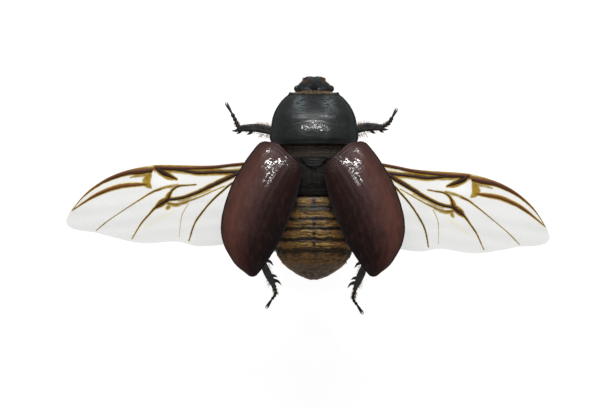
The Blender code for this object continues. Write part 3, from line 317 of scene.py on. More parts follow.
def make_lights():
    """Narrow lamps over the thorax and the elytra's roots and a wide soft one, in an evenly lit room."""
    lamps = [((x, 17, 240), (0, 11.4, 26)) for x in range(-72, 73, 12)]
    lamps += [((x, y, 334 - y), (0, 4.5, 28)) for x in range(-24, 25, 12) for y in (100, 112)]
    for _, side in SIDES:
        lamps += [((side * 119, 170, 86 + rise), (-side * 4.5, 5.4, 28)) for rise in (0, 14, 28)]
        lamps += [((side * 46, 152, 172 - rise), (-side * 5.5, 5.0, 28)) for rise in (0, 14)]
    for number, (place, target) in enumerate(lamps):
        panel(f"narrow_light_{number}", place, target, LAMP_SIZE, LAMP_WATTS).spread = LAMP_SPREAD
    panel("front_light", *FRONT_LIGHT)
    world = bpy.data.worlds.new("room")
    bpy.context.scene.world = world
    world.use_nodes = True
    background = world.node_tree.nodes["Background"]
    background.inputs["Color"].default_value = ROOM_COLOUR
    background.inputs["Strength"].default_value = ROOM_STRENGTH
    bpy.context.scene.view_settings.view_transform = "Standard"


def panel(name, place, target, size, watts):
    """A flat rectangular light that faces its target and isn't seen itself."""
    data = bpy.data.lights.new(name, "AREA")
    data.shape = "RECTANGLE"
    data.size, data.size_y = size[0] * MM, size[1] * MM
    data.energy = watts
    light = bpy.data.objects.new(name, data)
    light.location = Vector(place) * MM
    light.rotation_euler = (Vector(place) - Vector(target)).to_track_quat("Z", "Y").to_euler()
    light.visible_camera = False
    bpy.context.scene.collection.objects.link(light)
    return data


# Materials

class Look:
    """A material, built up node by node around one Principled BSDF."""

    def __init__(self, name):
        self.material = bpy.data.materials.new(name)
        self.material.use_nodes = True
        self.tree = self.material.node_tree
        self.shader = self.tree.nodes["Principled BSDF"]

    def put(self, socket, value):
        if isinstance(value, bpy.types.NodeSocket):
            self.tree.links.new(value, socket)
        else:
            socket.default_value = value

    def set(self, name, value):
        self.put(self.shader.inputs[name], value)

    def new(self, kind, inputs=(), **settings):
        node = self.tree.nodes.new("ShaderNode" + kind)
        for key, value in settings.items():
            setattr(node, key, value)
        for key, value in dict(inputs).items():
            self.put(node.inputs[key], value)
        return node

    def place(self, size):
        """Object coordinates, counted in lumps of this size in millimetres along each axis."""
        sizes = size if isinstance(size, tuple) else (size, size, size)
        where = self.new("TexCoord").outputs["Object"]
        scale = tuple(1 / (s * MM) for s in sizes)
        return self.new("VectorMath", {0: where, 1: scale}, operation="MULTIPLY").outputs[0]

    def axis(self, name):
        """One object coordinate, in millimetres."""
        return self.new("SeparateXYZ", {0: self.place(1.0)}).outputs[name]

    def noise(self, size, detail=3.0, roughness=0.5):
        inputs = {"Vector": self.place(size), "Scale": 1.0, "Detail": detail, "Roughness": roughness}
        return self.new("TexNoise", inputs).outputs[0]

    def patches(self, size, low, high, detail=4.0, roughness=0.5):
        """Noise, stretched so that its values from low to high go from 0 to 1."""
        return self.curve(self.noise(size, detail, roughness), low, high)

    def cells(self, size):
        inputs = {"Vector": self.place(size), "Scale": 1.0}
        return self.new("TexVoronoi", inputs, feature="F1").outputs["Distance"]

    def masks(self):
        """The three masks that the mesh carries: red, green and blue."""
        whole = self.new("Attribute", attribute_name="paint").outputs["Color"]
        return tuple(self.new("SeparateColor", {0: whole}).outputs)

    def ramp(self, value, *stops):
        node = self.new("ValToRGB", {0: value})
        band = node.color_ramp
        band.elements[0].position, band.elements[0].color = stops[0][0], (*stops[0][1], 1)
        band.elements[1].position, band.elements[1].color = stops[-1][0], (*stops[-1][1], 1)
        for place, colour in stops[1:-1]:
            band.elements.new(place).color = (*colour, 1)
        return node.outputs["Color"]

    def curve(self, value, low, high, to_low=0.0, to_high=1.0):
        inputs = {0: value, 1: low, 2: high, 3: to_low, 4: to_high}
        return self.new("MapRange", inputs).outputs[0]

    def math(self, operation, a, b=0.0):
        return self.new("Math", {0: a, 1: b}, operation=operation).outputs[0]

    def times(self, a, b):
        return self.math("MULTIPLY", a, b)

    def shifted(self, value, noise, share):
        """A value moved up and down by its share of a noise."""
        return self.math("ADD", value, self.times(self.math("SUBTRACT", noise, 0.5), share))

    def mix(self, share, a, b, how="MIX"):
        """Two colours mixed; a plain colour is given as three numbers."""
        first = (*a, 1) if isinstance(a, tuple) else a
        second = (*b, 1) if isinstance(b, tuple) else b
        node = self.new("Mix", {0: share, 6: first, 7: second}, data_type="RGBA", blend_type=how)
        return node.outputs[2]

    def varnish(self, where):
        """A clear polished layer, broken up into specks, over the places where the mask is one."""
        patches = self.patches((0.32, 0.34, 0.32), 0.36, 0.5, 3.0)
        specks = self.patches((0.13, 0.2, 0.13), 0.44, 0.56, 2.0)
        self.set("Coat Weight", self.times(where, self.times(patches, specks)))
        for name, value in VARNISH.items():
            self.set(name, value)

    def finish(self, colour, roughness, specular, *bumps):
        """Sets the surface; a bump is a pair of a value and its depth in millimetres, laid over the last."""
        self.set("Base Color", colour)
        self.set("Roughness", roughness)
        self.set("Specular IOR Level", specular)
        normal = None
        for value, depth in bumps:
            inputs = {"Height": value, "Distance": depth * MM, "Strength": 1.0}
            if normal is not None:
                inputs["Normal"] = normal
            normal = self.new("Bump", inputs).outputs[0]
        self.set("Normal", normal)
        return self


def shell_look(name, low, high, roughness, pit_size, pit_depth, specular, accent=(0.12, 0.04, 0.012)):
    """Glossy chitin with punctures, faint wrinkles and uneven colour, and an accent where painted."""
    look = Look(name)
    pits = look.cells(pit_size)
    base = look.mix(look.patches(1.4, 0.35, 0.7), low, high)
    base = look.mix(look.masks()[0], base, accent)
    base = look.mix(1.0, base, look.curve(pits, 0.0, 0.35, 0.55, 1.0), "MULTIPLY")
    rough = look.curve(look.noise(0.5), 0.3, 0.7, roughness * 0.8, roughness * 1.25)
    wrinkles = (look.noise(0.25), pit_depth * 0.5), (look.noise(0.9, 2.0), pit_depth * 0.9)
    return look.finish(base, rough, specular, (look.curve(pits, 0.05, 0.4), pit_depth), *wrinkles)


def make_looks():
    """The materials, by the places that they dress."""
    looks = {place: shell_look(*values) for place, values in SHELL_LOOKS.items()}
    looks |= {place: hair_look(*values) for place, values in HAIR_LOOKS.items()}
    looks["pronotum"] = pronotum_look()
    looks["head"] = head_look()
    looks["elytron"] = elytron_look()
    looks["abdomen"] = abdomen_look()
    looks["pygidium"] = pygidium_look()
    looks["membrane"] = membrane_look()
    looks["vein"] = vein_look()
    looks["eye"] = eye_look()
    looks["base"] = stand_look("stand_white", (0.7, 0.7, 0.69), 0.0, 0.4)
    looks["rod"] = stand_look("stand_steel", (0.4, 0.4, 0.41), 1.0, 0.3)
    return looks


def head_look():
    """Black behind, grey and dull in front, rusty beside that, and brown where it slides into the thorax."""
    look = Look("head_black")
    tone, (inside, front, _) = look.noise(0.5, 4.0), look.masks()
    base = look.mix(tone, (0.004, 0.005, 0.006), (0.012, 0.014, 0.015))
    base = look.mix(front, base, look.mix(tone, (0.012, 0.014, 0.014), (0.05, 0.054, 0.054)))
    base = look.mix(inside, base, (0.02, 0.009, 0.005))
    beside = look.curve(look.math("ABSOLUTE", look.axis("X")), 1.15, 1.55)
    cheek = look.times(beside, look.curve(look.axis("Y"), 19.2, 19.8))
    rust = look.times(cheek, look.patches(0.35, 0.4, 0.55, 3.0))
    base = look.mix(rust, base, (0.11, 0.05, 0.02))
    rough = look.curve(look.noise(0.4), 0.3, 0.7, 0.3, 0.42)
    pits = look.curve(look.cells(0.16), 0.05, 0.4)
    return look.finish(base, rough, 0.22, (pits, 0.02), (look.noise(0.35), 0.04))


def pronotum_look():
    """Near-black. The masks are its painted sheen and highlights, its crinkled front and its polished
    places.
    """
    look = Look("pronotum_black")
    pale, front, polish = look.masks()
    base = look.mix(look.patches(1.4, 0.35, 0.7), (0.007, 0.008, 0.008), (0.016, 0.018, 0.018))
    base = look.mix(front, base, (0.005, 0.006, 0.007))
    # Painted sheen: pale bluish grey on the crinkled front, and painted highlights on the small glints
    # behind it
    painted_sheen = look.times(pale, look.patches((0.5, 0.22, 0.4), 0.42, 0.6, 4.0, 0.65))
    base = look.mix(painted_sheen, base, (0.13, 0.16, 0.165))
    grain = look.curve(look.noise(0.5), 0.3, 0.7, -0.04, 0.04)
    look.varnish(polish)
    pits = look.curve(look.cells(0.24), 0.04, 0.3)
    crinkle = look.times(look.noise((0.3, 0.18, 0.3), 4.0, 0.6), front)
    bumps = (pits, 0.012), (look.noise((0.5, 0.4, 0.5)), 0.02), (crinkle, 0.32)
    return look.finish(base, look.math("ADD", grain, 0.43), 0.34, *bumps)


def elytron_look():
    """Dark red-brown with fine punctures; a redder band outside is painted sheen, and the inner half is
    darkened as painted shade.

    The masks are how far a place is across and along, and the rim above zero with the shine below zero.
    """
    look = Look("elytron_brown")
    across, along, mixed = look.masks()
    rim, shine = look.curve(mixed, 0.0, 1.0), look.curve(mixed, 0.0, -1.0)
    place = look.shifted(across, look.noise((0.6, 2.5, 1.2), 4.0), 0.35)
    # Across the elytron: the inner half darkened as painted shade, then a redder outer band as painted
    # sheen, darker again at the outer edge
    base = look.ramp(place, (0.05, (0.006, 0.0035, 0.0032)), (0.38, (0.016, 0.0055, 0.0045)),
                     (0.6, (0.052, 0.018, 0.015)), (0.82, (0.105, 0.038, 0.028)), (1.0, (0.05, 0.02, 0.015)))
    blotch = look.noise((0.9, 1.6, 1.0), 5.0, 0.6)
    base = look.mix(look.curve(blotch, 0.48, 0.75, 0.0, 0.35), base, (0.085, 0.032, 0.023))
    # The front and the rear are darkened, so that the painted sheen stays in the middle of the length
    base = look.mix(look.curve(along, 0.05, 0.5, 0.85, 0.0), base, (0.02, 0.0085, 0.0075))
    base = look.mix(look.curve(along, 0.75, 1.0, 0.0, 0.5), base, (0.045, 0.022, 0.023))
    seam = look.mix(look.curve(across, 0.3, 0.6), (0.02, 0.02, 0.023), (0.01, 0.007, 0.009))
    base = look.mix(rim, base, seam)
    look.varnish(shine)
    grain = look.curve(look.noise(0.35, 4.0), 0.3, 0.7, -0.04, 0.04)
    pits = look.curve(look.cells((0.2, 0.26, 0.2)), 0.02, 0.35)
    return look.finish(base, look.math("ADD", grain, 0.5), 0.16, (pits, 0.012), (look.noise(0.3), 0.012))


def abdomen_look():
    """Golden with dark cross bands above, orange at the sides and behind, and dark brown below."""
    look = Look("abdomen_gold")
    band, above, middle = look.masks()
    place = look.shifted(band, look.noise((1.3, 0.3, 0.6), 5.0, 0.6), 1.3)
    gold = look.ramp(place, (0.0, (0.008, 0.007, 0.005)), (0.25, (0.018, 0.011, 0.006)),
                     (0.45, (0.07, 0.03, 0.009)), (0.7, (0.18, 0.092, 0.023)), (1.0, (0.42, 0.265, 0.075)))
    speck = look.noise((0.5, 0.2, 0.3), 4.0, 0.6)
    gold = look.mix(look.curve(speck, 0.45, 0.62, 0.0, 0.85), gold, (0.035, 0.02, 0.008))
    gold = look.mix(look.curve(look.noise(1.1, 2.0), 0.5, 0.75, 0.0, 0.35), gold, (0.14, 0.12, 0.02))
    rust = look.noise((0.8, 0.35, 0.5))
    gold = look.mix(look.curve(rust, 0.5, 0.68, 0.0, 0.4), gold, (0.2, 0.085, 0.022))
    orange = look.mix(look.noise((0.25, 0.6, 0.4), 4.0, 0.6), (0.05, 0.022, 0.009), (0.4, 0.19, 0.055))
    flank = look.curve(look.math("ABSOLUTE", look.axis("X")), 2.9, 4.4, 0.0, 0.7)
    rear = look.curve(look.axis("Y"), -9.3, -10.0, 0.0, 0.6)
    light = look.curve(place, 0.2, 0.55)
    gold = look.mix(look.times(look.math("MAXIMUM", flank, rear), light), gold, orange)
    stain = look.times(look.patches((1.1, 0.4, 0.6), 0.47, 0.58, 4.0, 0.6), rear)
    gold = look.mix(stain, gold, (0.016, 0.012, 0.008))
    gold = look.mix(look.curve(middle, 0.0, 0.65), gold, (0.01, 0.009, 0.008))
    below = look.mix(look.noise(1.2), (0.02, 0.008, 0.005), (0.06, 0.022, 0.012))
    rough = look.curve(look.noise(0.4), 0.3, 0.7, 0.42, 0.56)
    bumps = (look.noise((1.0, 0.25, 0.4), 4.0), 0.12), (look.noise(0.3), 0.06)
    return look.finish(look.mix(above, below, gold), rough, 0.3, *bumps)


def pygidium_look():
    """Mottled brown with a rusty front and a pale rim."""
    look = Look("pygidium_brown")
    rim, _, _ = look.masks()
    tone = look.patches((0.7, 0.35, 0.5), 0.35, 0.68, 4.0, 0.6)
    base = look.mix(tone, (0.04, 0.03, 0.022), (0.19, 0.135, 0.085))
    front = look.curve(look.axis("Y"), -13.4, -11.9, 0.0, 1.0)
    patches = look.patches((1.0, 0.5, 0.6), 0.45, 0.6, 4.0, 0.6)
    base = look.mix(look.times(front, patches), base, (0.2, 0.1, 0.035))
    base = look.mix(rim, base, (0.3, 0.14, 0.05))
    pits = look.curve(look.cells(0.3), 0.05, 0.4)
    return look.finish(base, 0.42, 0.3, (pits, 0.02), (look.noise(0.25), 0.02))


def membrane_look():
    """Almost clear film, amber beside the veins and pale grey behind them."""
    look = Look("wing_membrane")
    amber, haze, _ = look.masks()
    grain = look.noise((0.9, 0.5, 0.5), 4.0)
    amber = look.times(amber, look.curve(grain, 0.3, 0.6, 0.75, 1.1))
    colour = look.ramp(amber, (0.0, (0.62, 0.62, 0.58)), (0.12, (0.62, 0.5, 0.1)), (0.45, (0.5, 0.31, 0.02)),
                       (0.7, (0.27, 0.12, 0.01)), (0.92, (0.13, 0.05, 0.01)))
    clear = look.curve(haze, 0.0, 1.0, 0.08, 0.3)
    look.set("Alpha", look.math("MAXIMUM", clear, look.curve(amber, 0.0, 0.5, 0.0, 0.96)))
    return look.finish(colour, 0.3, 0.35, (look.noise((1.4, 0.16, 0.4)), 0.02))


def vein_look():
    """Dark purple-brown. The masks: the veins' middles, paler on plain veins as painted light through them,
    the amber-edged and the orange-brown ones.
    """
    look = Look("vein_brown")
    middle, warm, orange = look.masks()
    tone = look.noise(0.8)
    # The plain veins: paler in the middle, painted as light shining through the tube
    cold = look.mix(middle, look.mix(tone, (0.014, 0.007, 0.006), (0.03, 0.014, 0.009)),
                    look.mix(tone, (0.035, 0.017, 0.014), (0.075, 0.036, 0.024)))
    amber = look.mix(middle, look.mix(tone, (0.16, 0.05, 0.01), (0.26, 0.09, 0.018)),
                     look.mix(tone, (0.06, 0.024, 0.015), (0.1, 0.042, 0.026)))
    rust = look.mix(tone, (0.13, 0.038, 0.006), (0.22, 0.07, 0.012))
    colour = look.mix(orange, look.mix(warm, cold, amber), rust)
    return look.finish(colour, 0.5, 0.25, (look.noise(0.2, 2.0), 0.015))


def hair_look(name, dark, middle, pale):
    """Hairs that are paler to their tips, each a little different."""
    look = Look(name)
    tone, share, _ = look.masks()
    colour = look.mix(share, look.mix(tone, dark, middle), look.mix(tone, middle, pale))
    rough = look.curve(tone, 0.0, 1.0, 0.38, 0.55)
    return look.finish(colour, rough, 0.5, (look.noise((0.05, 0.05, 0.2), 2.0), 0.003))


def eye_look():
    """Black and glossy, with fine facets."""
    look = Look("eye_black")
    look.set("Coat Weight", 0.5)
    colour = look.mix(look.noise(0.4), (0.004, 0.004, 0.005), (0.02, 0.016, 0.012))
    facets = look.curve(look.cells(0.07), 0.0, 0.6, 1.0, 0.0)
    return look.finish(colour, 0.16, 0.5, (facets, 0.008))


def stand_look(name, colour, metallic, roughness):
    """A plain even surface; on metal its grain runs along the height."""
    look = Look(name)
    grain = look.noise((0.3, 0.3, 4.0) if metallic else 0.4)
    low = tuple(c * 0.94 for c in colour)
    look.set("Metallic", metallic)
    rough = look.curve(grain, 0.3, 0.7, roughness * 0.9, roughness * 1.15)
    return look.finish(look.mix(grain, low, colour), rough, 0.5, (grain, 0.004))


# Curves, nets and noise

def curve(points, places):
    """Points of the smooth curve through the points, at places from 0 to 1 along it."""
    p = np.asarray(points, float)
    flat = p.ndim == 1
    if flat:
        p = p[:, None]
    p = np.vstack([2 * p[0] - p[1], p, 2 * p[-1] - p[-2]])
    at = np.clip(np.asarray(places, float), 0, 1) * (len(p) - 3)
    i = np.minimum(at.astype(int), len(p) - 4)
    u = (at - i)[..., None]
    a, b, c, d = p[i], p[i + 1], p[i + 2], p[i + 3]
    bend = 2 * a - 5 * b + 4 * c - d
    found = 0.5 * (2 * b + (c - a) * u + bend * u**2 + (3 * b - a - 3 * c + d) * u**3)
    return found[..., 0] if flat else found


def stations(rows, ys):
    """The columns of a table of the trunk at each y, on smooth curves through its rows."""
    table = np.array(rows, float)
    slopes = np.gradient(table, table[:, 0], axis=0)
    i = np.clip(np.searchsorted(table[:, 0], ys) - 1, 0, len(table) - 2)
    span = (table[i + 1, 0] - table[i, 0])[:, None]
    u = np.clip((ys[:, None] - table[i, :1]) / span, 0, 1)
    rise = u * u * (3 - 2 * u)
    found = (1 - rise) * table[i] + rise * table[i + 1]
    found += span * u * (1 - u) * ((1 - u) * slopes[i] - u * slopes[i + 1])
    return found[:, 1:].T


def trunk_net(rows, ys, scales=1.0, inset=0.0, sides=TRUNK_SIDES):
    """Rings across the trunk at each y, scaled about the widest line and drawn in by the inset."""
    ys = np.asarray(ys, float)
    half, top, bottom, waist = stations(rows, ys)
    scales = np.broadcast_to(scales, ys.shape)[:, None]
    inset = np.broadcast_to(inset, ys.shape)[:, None]
    turn = ring_turns(sides)
    c, s = np.cos(turn), np.sin(turn)
    reach = np.where(s > 0, (top - waist)[:, None], (waist - bottom)[:, None])
    x = (half[:, None] - inset) * scales * fuller(c)
    z = waist[:, None] + (reach - inset) * scales * fuller(s)
    return np.stack([x, np.broadcast_to(ys[:, None], x.shape), z], axis=-1)


def fuller(part):
    """A cosine or sine, for a section a little fuller than an ellipse."""
    return np.sign(part) * np.abs(part) ** (2 / TRUNK_FULLNESS)


def ring_turns(sides):
    return FULL_TURN * np.arange(sides) / sides


def unit(v):
    return v / np.maximum(np.linalg.norm(v, axis=-1, keepdims=True), 1e-9)


def relief(net, heights, wrap=True):
    """The net with each point moved out along its normal by its height."""
    return net + normals(net, wrap) * heights[..., None]


def normals(net, wrap=True):
    along = np.gradient(net, axis=0)
    across = np.roll(net, -1, axis=1) - np.roll(net, 1, axis=1) if wrap else np.gradient(net, axis=1)
    return unit(np.cross(along, across))


def ripple(points, size, seed, waves=28):
    """Smooth random heights of about -1 to 1, in lumps of this size along each axis."""
    draw = np.random.default_rng(seed)
    speed = draw.normal(size=(waves, points.shape[-1])) * 2.2 / np.asarray(size, float)
    phase = draw.uniform(0, FULL_TURN, waves)
    return np.cos(points @ speed.T + phase).sum(axis=-1) / math.sqrt(waves * 2)


def hump(distance, width):
    """A smooth rise of 1 over a line or point, which dies away at about twice the width."""
    return np.exp(-((distance / width) ** 2))


def ridges(values, *marks):
    """Ridges above zero and grooves below: each mark is a height, the value that it is at, and a width."""
    return sum(height * hump(values - place, width) for height, place, width in marks)


def step(value, start, end):
    """Zero before the start and one after the end, straight between; the end may be the lower one."""
    return np.clip((value - start) / (end - start), 0, 1)


def away_from(points, path):
    """How far the points are, seen from above, from the smooth line through the path."""
    line = curve(path, np.linspace(0, 1, 60))
    return np.min([np.hypot(points[..., 0] - x, points[..., 1] - y) for x, y in line], axis=0)


class Form:
    """The points, faces and painted masks of one piece, gathered from nets."""

    def __init__(self):
        self.points, self.faces, self.paint, self.count = [], [], [], 0

    def net(self, points, paint=(0, 0, 0)):
        """Adds a net of rows, each of them a ring."""
        rows, across = points.shape[:2]
        near = self.count + np.arange(rows * across).reshape(rows, across)
        far = np.roll(near, -1, axis=1)
        quads = np.stack([near[:-1], far[:-1], far[1:], near[1:]], axis=-1)
        self.faces += quads.reshape(-1, 4).tolist()
        self.points.append(points.reshape(-1, 3))
        masks = [np.broadcast_to(mask, (rows, across)).ravel() for mask in paint]
        self.paint.append(np.stack(masks, axis=-1))
        self.count += rows * across
        return self

    def piece(self, name, slot, look, nodes=(), smooth=60, weld=True):
        """Makes the piece, in metres and at its height above the floor."""
        mesh = bpy.data.meshes.new(name)
        points = (np.concatenate(self.points) + np.array((0, 0, BODY_Z))) * MM
        mesh.from_pydata(points.tolist(), [], self.faces)
        paint = mesh.attributes.new("paint", "FLOAT_COLOR", "POINT")
        masks = np.concatenate(self.paint)
        colours = np.concatenate([masks, np.ones((len(masks), 1))], axis=1)
        paint.data.foreach_set("color", colours.ravel().astype(np.float32))
        if weld:
            tidy(mesh)
        mesh.shade_smooth()
        mesh.set_sharp_from_angle(angle=math.radians(smooth))
        mesh.materials.append(look.material)
        made = bpy.data.objects.new(name, mesh)
        bpy.context.scene.collection.objects.link(made)
        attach(made, "root")
        if nodes:
            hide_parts(*nodes)
        return made


def plate(net, name, slot, look, node, paint=(0, 0, 0), smooth=60):
    """A piece made of one net, in place of one node."""
    Form().net(net, paint).piece(name, slot, look, (node,), smooth)


def tidy(mesh):
    """Welds the seams of closed nets, drops what collapses there, and turns the faces out."""
    form = bmesh.new()
    form.from_mesh(mesh)
    bmesh.ops.remove_doubles(form, verts=form.verts, dist=WELD_METRES)
    bmesh.ops.dissolve_degenerate(form, edges=form.edges, dist=COLLAPSE_METRES)
    bmesh.ops.recalc_face_normals(form, faces=form.faces)
    form.to_mesh(mesh)
    form.free()


# Trunk

def with_ends(ys, rear, front):
    """Rows with their scales: at each end a part is a cuff, or a plug that fits its neighbour's cuff."""
    rows = [(ys[0] + depth, scale) for depth, scale in TRUNK_ENDS[rear]]
    rows += [(y, 1.0) for y in ys]
    rows += [(ys[-1] - depth, scale) for depth, scale in reversed(TRUNK_ENDS[front])]
    return np.array(rows).T


def whole(scales):
    """One for the rows of a part's outside, and zero for those of its cuffs and plugs."""
    return (scales > WHOLE_SCALE)[:, None]


def around(net, steep=6.0, shift=0.0):
    """Turns round the trunk, a mask of its upper half, and the turn away from its widest line."""
    turn = ring_turns(net.shape[1])[None, :] + 0 * net[..., 0]
    above = np.clip(np.sin(turn) * steep + shift, 0, 1)
    return turn, above, np.minimum(np.abs(turn - HALF_TURN), np.minimum(turn, FULL_TURN - turn))


def make_prothorax(looks):
    """A domed shield with a crinkled dent in front, a rim all round, two folds and a polished patch."""
    ys, scales = with_ends(np.linspace(*PROTHORAX_RINGS), "cuff", "cuff")
    net = trunk_net(PROTHORAX, ys, scales, sides=PRONOTUM_SIDES)
    x, y = net[..., 0], net[..., 1]
    beside = np.abs(x)
    _, above, side = around(net)
    dent = hump(y - DENT_Y, DENT_LENGTH) * np.exp(-((x / DENT_HALF_WIDTH) ** 4)) * above
    net[..., 2] -= DENT_DEPTH * dent
    rise = ridges(side * above, (0.12, 0.24, 0.04), (-0.1, 0.34, 0.045))
    rise += above * ridges(y, (0.12, 17.5, 0.13), (-0.08, 17.15, 0.18), (0.08, 9.0, 0.1), (-0.07, 9.3, 0.12))
    rise += above * 0.13 * hump(y - 14.2, 0.32) * (0.05 + 0.6 * hump(beside - 2.4, 0.7))
    rise += dent * (0.035 * ripple(net, (0.6, 0.25, 0.6), 3) + 0.02 * ripple(net, (0.25, 0.2, 0.3), 6))
    rise += above * 0.012 * ripple(net, (0.9, 0.5, 0.9), 5) + 0.012 * ripple(net, 2.5, 4)
    shine = hump(y - 12.0 + 0.18 * x**2, 0.85) * step(beside, 2.8, 2.3)
    rise += above * 0.022 * np.sqrt(shine) * ripple(net, (0.25, 0.2, 0.25), 7, SHINE_WAVES)
    rise -= above * 0.12 * hump(np.hypot(beside - 4.9, y - 12.4), 0.5)
    folds = 0.1 * hump(y - 14.75 + 0.012 * x**2, 0.17) + 0.09 * hump(y - 12.85 + 0.05 * x**2, 0.17)
    rise -= above * folds * step(beside, 4.2, 3.4)
    rise += (1 - above) * (0.35 * hump(x, 0.6) * hump(y - 10.6, 1.3) - 0.1 * hump(beside - 5.2, 0.12))
    net = relief(net, rise * whole(scales))
    dull = np.clip(dent * 1.3, 0, 1)
    glint = hump(y - 13.5, 0.3)
    polish = above * np.clip(1.4 * shine + 0.6 * glint * hump(beside - 2.5, 0.7), 0, 1)
    # Painted sheen on the crinkled dent, strongest on its outer parts, and painted highlights on the small
    # glints behind it
    pale = dull * np.clip(hump(beside - 3.0, 1.2) + 0.12, 0, 1)
    pale = np.maximum(pale, above * glint * hump(beside - 2.3, 1.0))
    plate(net, "prothorax_shell", "thorax_black", looks["pronotum"], "prothorax", (pale, dull, polish))


def make_pterothorax(looks):
    """The part that carries the wings: a groove down its back, and sutures below."""
    ys, scales = with_ends(np.linspace(*PTEROTHORAX_RINGS), "cuff", "plug")
    net = trunk_net(PTEROTHORAX, ys, scales)
    x, y = net[..., 0], net[..., 1]
    beside = np.abs(x)
    _, above, _ = around(net)
    rise = above * (-0.14 * hump(x, 0.3) * (y < 4.6) + 0.08 * hump(beside - 0.9, 0.4) * (y < 4.8))
    rise += above * (0.035 * ripple(net, (0.7, 0.3, 0.7), 11) - 0.05 * hump(y - 1.1, 0.2))
    under = -0.22 * hump(x, 0.16) * (y < 4.4) - 0.15 * hump(y - 4.6 - 0.12 * beside, 0.14)
    under += -0.14 * hump(beside - 5.1 + 0.12 * y, 0.14) + 0.03 * ripple(net, 0.8, 12)
    net = relief(net, (rise + (1 - above) * under) * whole(scales))
    hair = above * step(y, 6.6, 7.1)
    plate(net, "pterothorax_shell", "thorax_black", looks["thorax"], "pterothorax", (hair, 0, 0))


def make_scutellum(looks):
    """A rounded triangular plate with a rolled edge."""
    s = np.linspace(0, 1, 40)[:, None]
    t = np.linspace(-1, 1, 40)[None, :]
    y = SCUTELLUM_FRONT - SCUTELLUM_LENGTH * s + 0 * t
    x = curve(SCUTELLUM_HALVES, s[:, 0])[:, None] * t
    half_width, top, _, waist = stations(PTEROTHORAX, y[:, 0])
    share = np.minimum(np.abs(x) / half_width[:, None], 0.999)
    z = waist[:, None] + (top - waist)[:, None] * (1 - share**TRUNK_FULLNESS) ** (1 / TRUNK_FULLNESS)
    edge = (1 - np.abs(t) ** 8) * (1 - s**10) * (1 - (1 - s) ** 14)
    points = np.stack([x, y, z], axis=-1)
    thick = np.clip((6.75 - y) / 0.5, 0.12, 1)
    rise = 0.08 + 0.15 * thick + 0.32 * thick * edge**0.4 + 0.02 * ripple(points, (0.6, 0.2, 0.5), 21)
    for arc in SCUTELLUM_ARCS:
        rise += 0.07 * hump(y - arc - 0.12 * x**2, 0.09) * edge
    net = closed_plate(points + np.stack([0 * x, 0 * x, rise], axis=-1), points + (0, 0, 0.05))
    brown = step(net[..., 1], 6.5, 6.8)
    plate(net, "scutellum_plate", "thorax_black", looks["scutellum"], "scutellum", (brown, 0, 0))


def closed_plate(upper, lower):
    """Two nets over one another made into one closed net, joined all round their edges."""
    middle = (upper + lower) / 2
    ring = np.concatenate([upper, middle[:, -1:], lower[:, ::-1], middle[:, :1]], axis=1)
    flat = np.concatenate([middle, middle[:, -1:], middle[:, ::-1], middle[:, :1]], axis=1)
    return np.concatenate([flat[:1], ring, flat[-1:]], axis=0)


def abdomen_rows():
    """Close rows down the abdomen, from its rear, with how far each is along its segment."""
    rows = [(front + (rear - front) * (0.004 + 0.994 * u), u)
            for front, rear in zip(SEGMENT_ENDS, SEGMENT_ENDS[1:]) for u in np.linspace(0, 1, 26)]
    return np.array(rows[::-1]).T


def make_abdomen(looks):
    """Overlapping rings, ridged across, with golden bands and dark marks above."""
    rows, bands = abdomen_rows()
    ys, scales = with_ends(rows, "cuff", "plug")
    bands = np.concatenate([np.ones(6), bands, np.zeros(6)])
    net = trunk_net(ABDOMEN, ys, scales, SEGMENT_STEP * (1 - bands) ** 2 * 0.95)
    x, y = net[..., 0], net[..., 1]
    turn, above, _ = around(net, 5.0, 0.4)
    u = bands[:, None]
    rise = above * (0.07 * ripple(net, (1.6, 0.25, 0.8), 31) * np.sin(HALF_TURN * u)
                    + ridges(u, (0.1, 0.35, 0.18), (-0.08, 0.72, 0.1)))
    rise += 0.03 * ripple(net, 1.0, 32) - 0.16 * hump(np.abs(turn - HALF_TURN / 2) - 1.15, 0.07)
    net = relief(net, rise * whole(scales))
    calm = step(y, -0.8, -1.6) * step(y, -11.0, -10.2) * above
    net[..., 1] += 0.1 * calm * ripple(net[..., :2], (0.8, 2.4), 35)
    middle = np.zeros(x.shape)
    for place, half_length, half_width in MIDDLE_MARKS:
        middle = np.maximum(middle, hump(np.hypot(x / half_width, (y - place) / half_length), 1.0) * 1.3)
    bent = y - 0.22 * hump(x, 0.8) * hump(y + 4.1, 0.7) + 0.1 * np.cos(x * 1.7) * hump(y + 4.1, 0.6)
    bent += 0.12 * (x / 5) ** 2 - 0.15 * ripple(net[..., :2], (0.9, 1.4), 33)
    bent -= 0.05 * ripple(net[..., :2], (0.35, 0.7), 34)
    gold = np.interp(-bent, *GOLD_BANDS.T)
    gold *= 1 - 0.8 * (y > -2.2) * step(np.abs(x), 2.3, 3.3)
    gold *= 1 - 0.3 * step(np.abs(x) + 0.25 * y, 1.6, 3.1)
    paint = (gold, above, np.clip(middle, 0, 1))
    plate(net, "abdomen_rings", "abdomen_gold", looks["abdomen"], "abdomen", paint)


def make_pygidium(looks):
    """The plate that ends the abdomen, with a pale rim."""
    outside = PYGIDIUM_REAR + PYGIDIUM_LENGTH * np.linspace(0, 1, 50) ** 1.5
    ys = np.concatenate([[PYGIDIUM_REAR], outside, [-11.7, -11.4, -11.35]])
    scales = np.concatenate([[0.0], np.ones(50), [0.97, 0.9, 0.0]])
    net = trunk_net(ABDOMEN, ys, scales)
    _, _, side = around(net)
    rise = 0.08 * hump(side, 0.12) + 0.03 * ripple(net, 0.5, 41)
    rise[0], rise[-1] = 0, 0
    rim = np.clip(hump(side, 0.16) + hump(net[..., 1] + 14.7, 0.12), 0, 1)
    plate(relief(net, rise), "pygidium_plate", "abdomen_gold", looks["pygidium"], "pygidium", (rim, 0, 0))


# Elytra

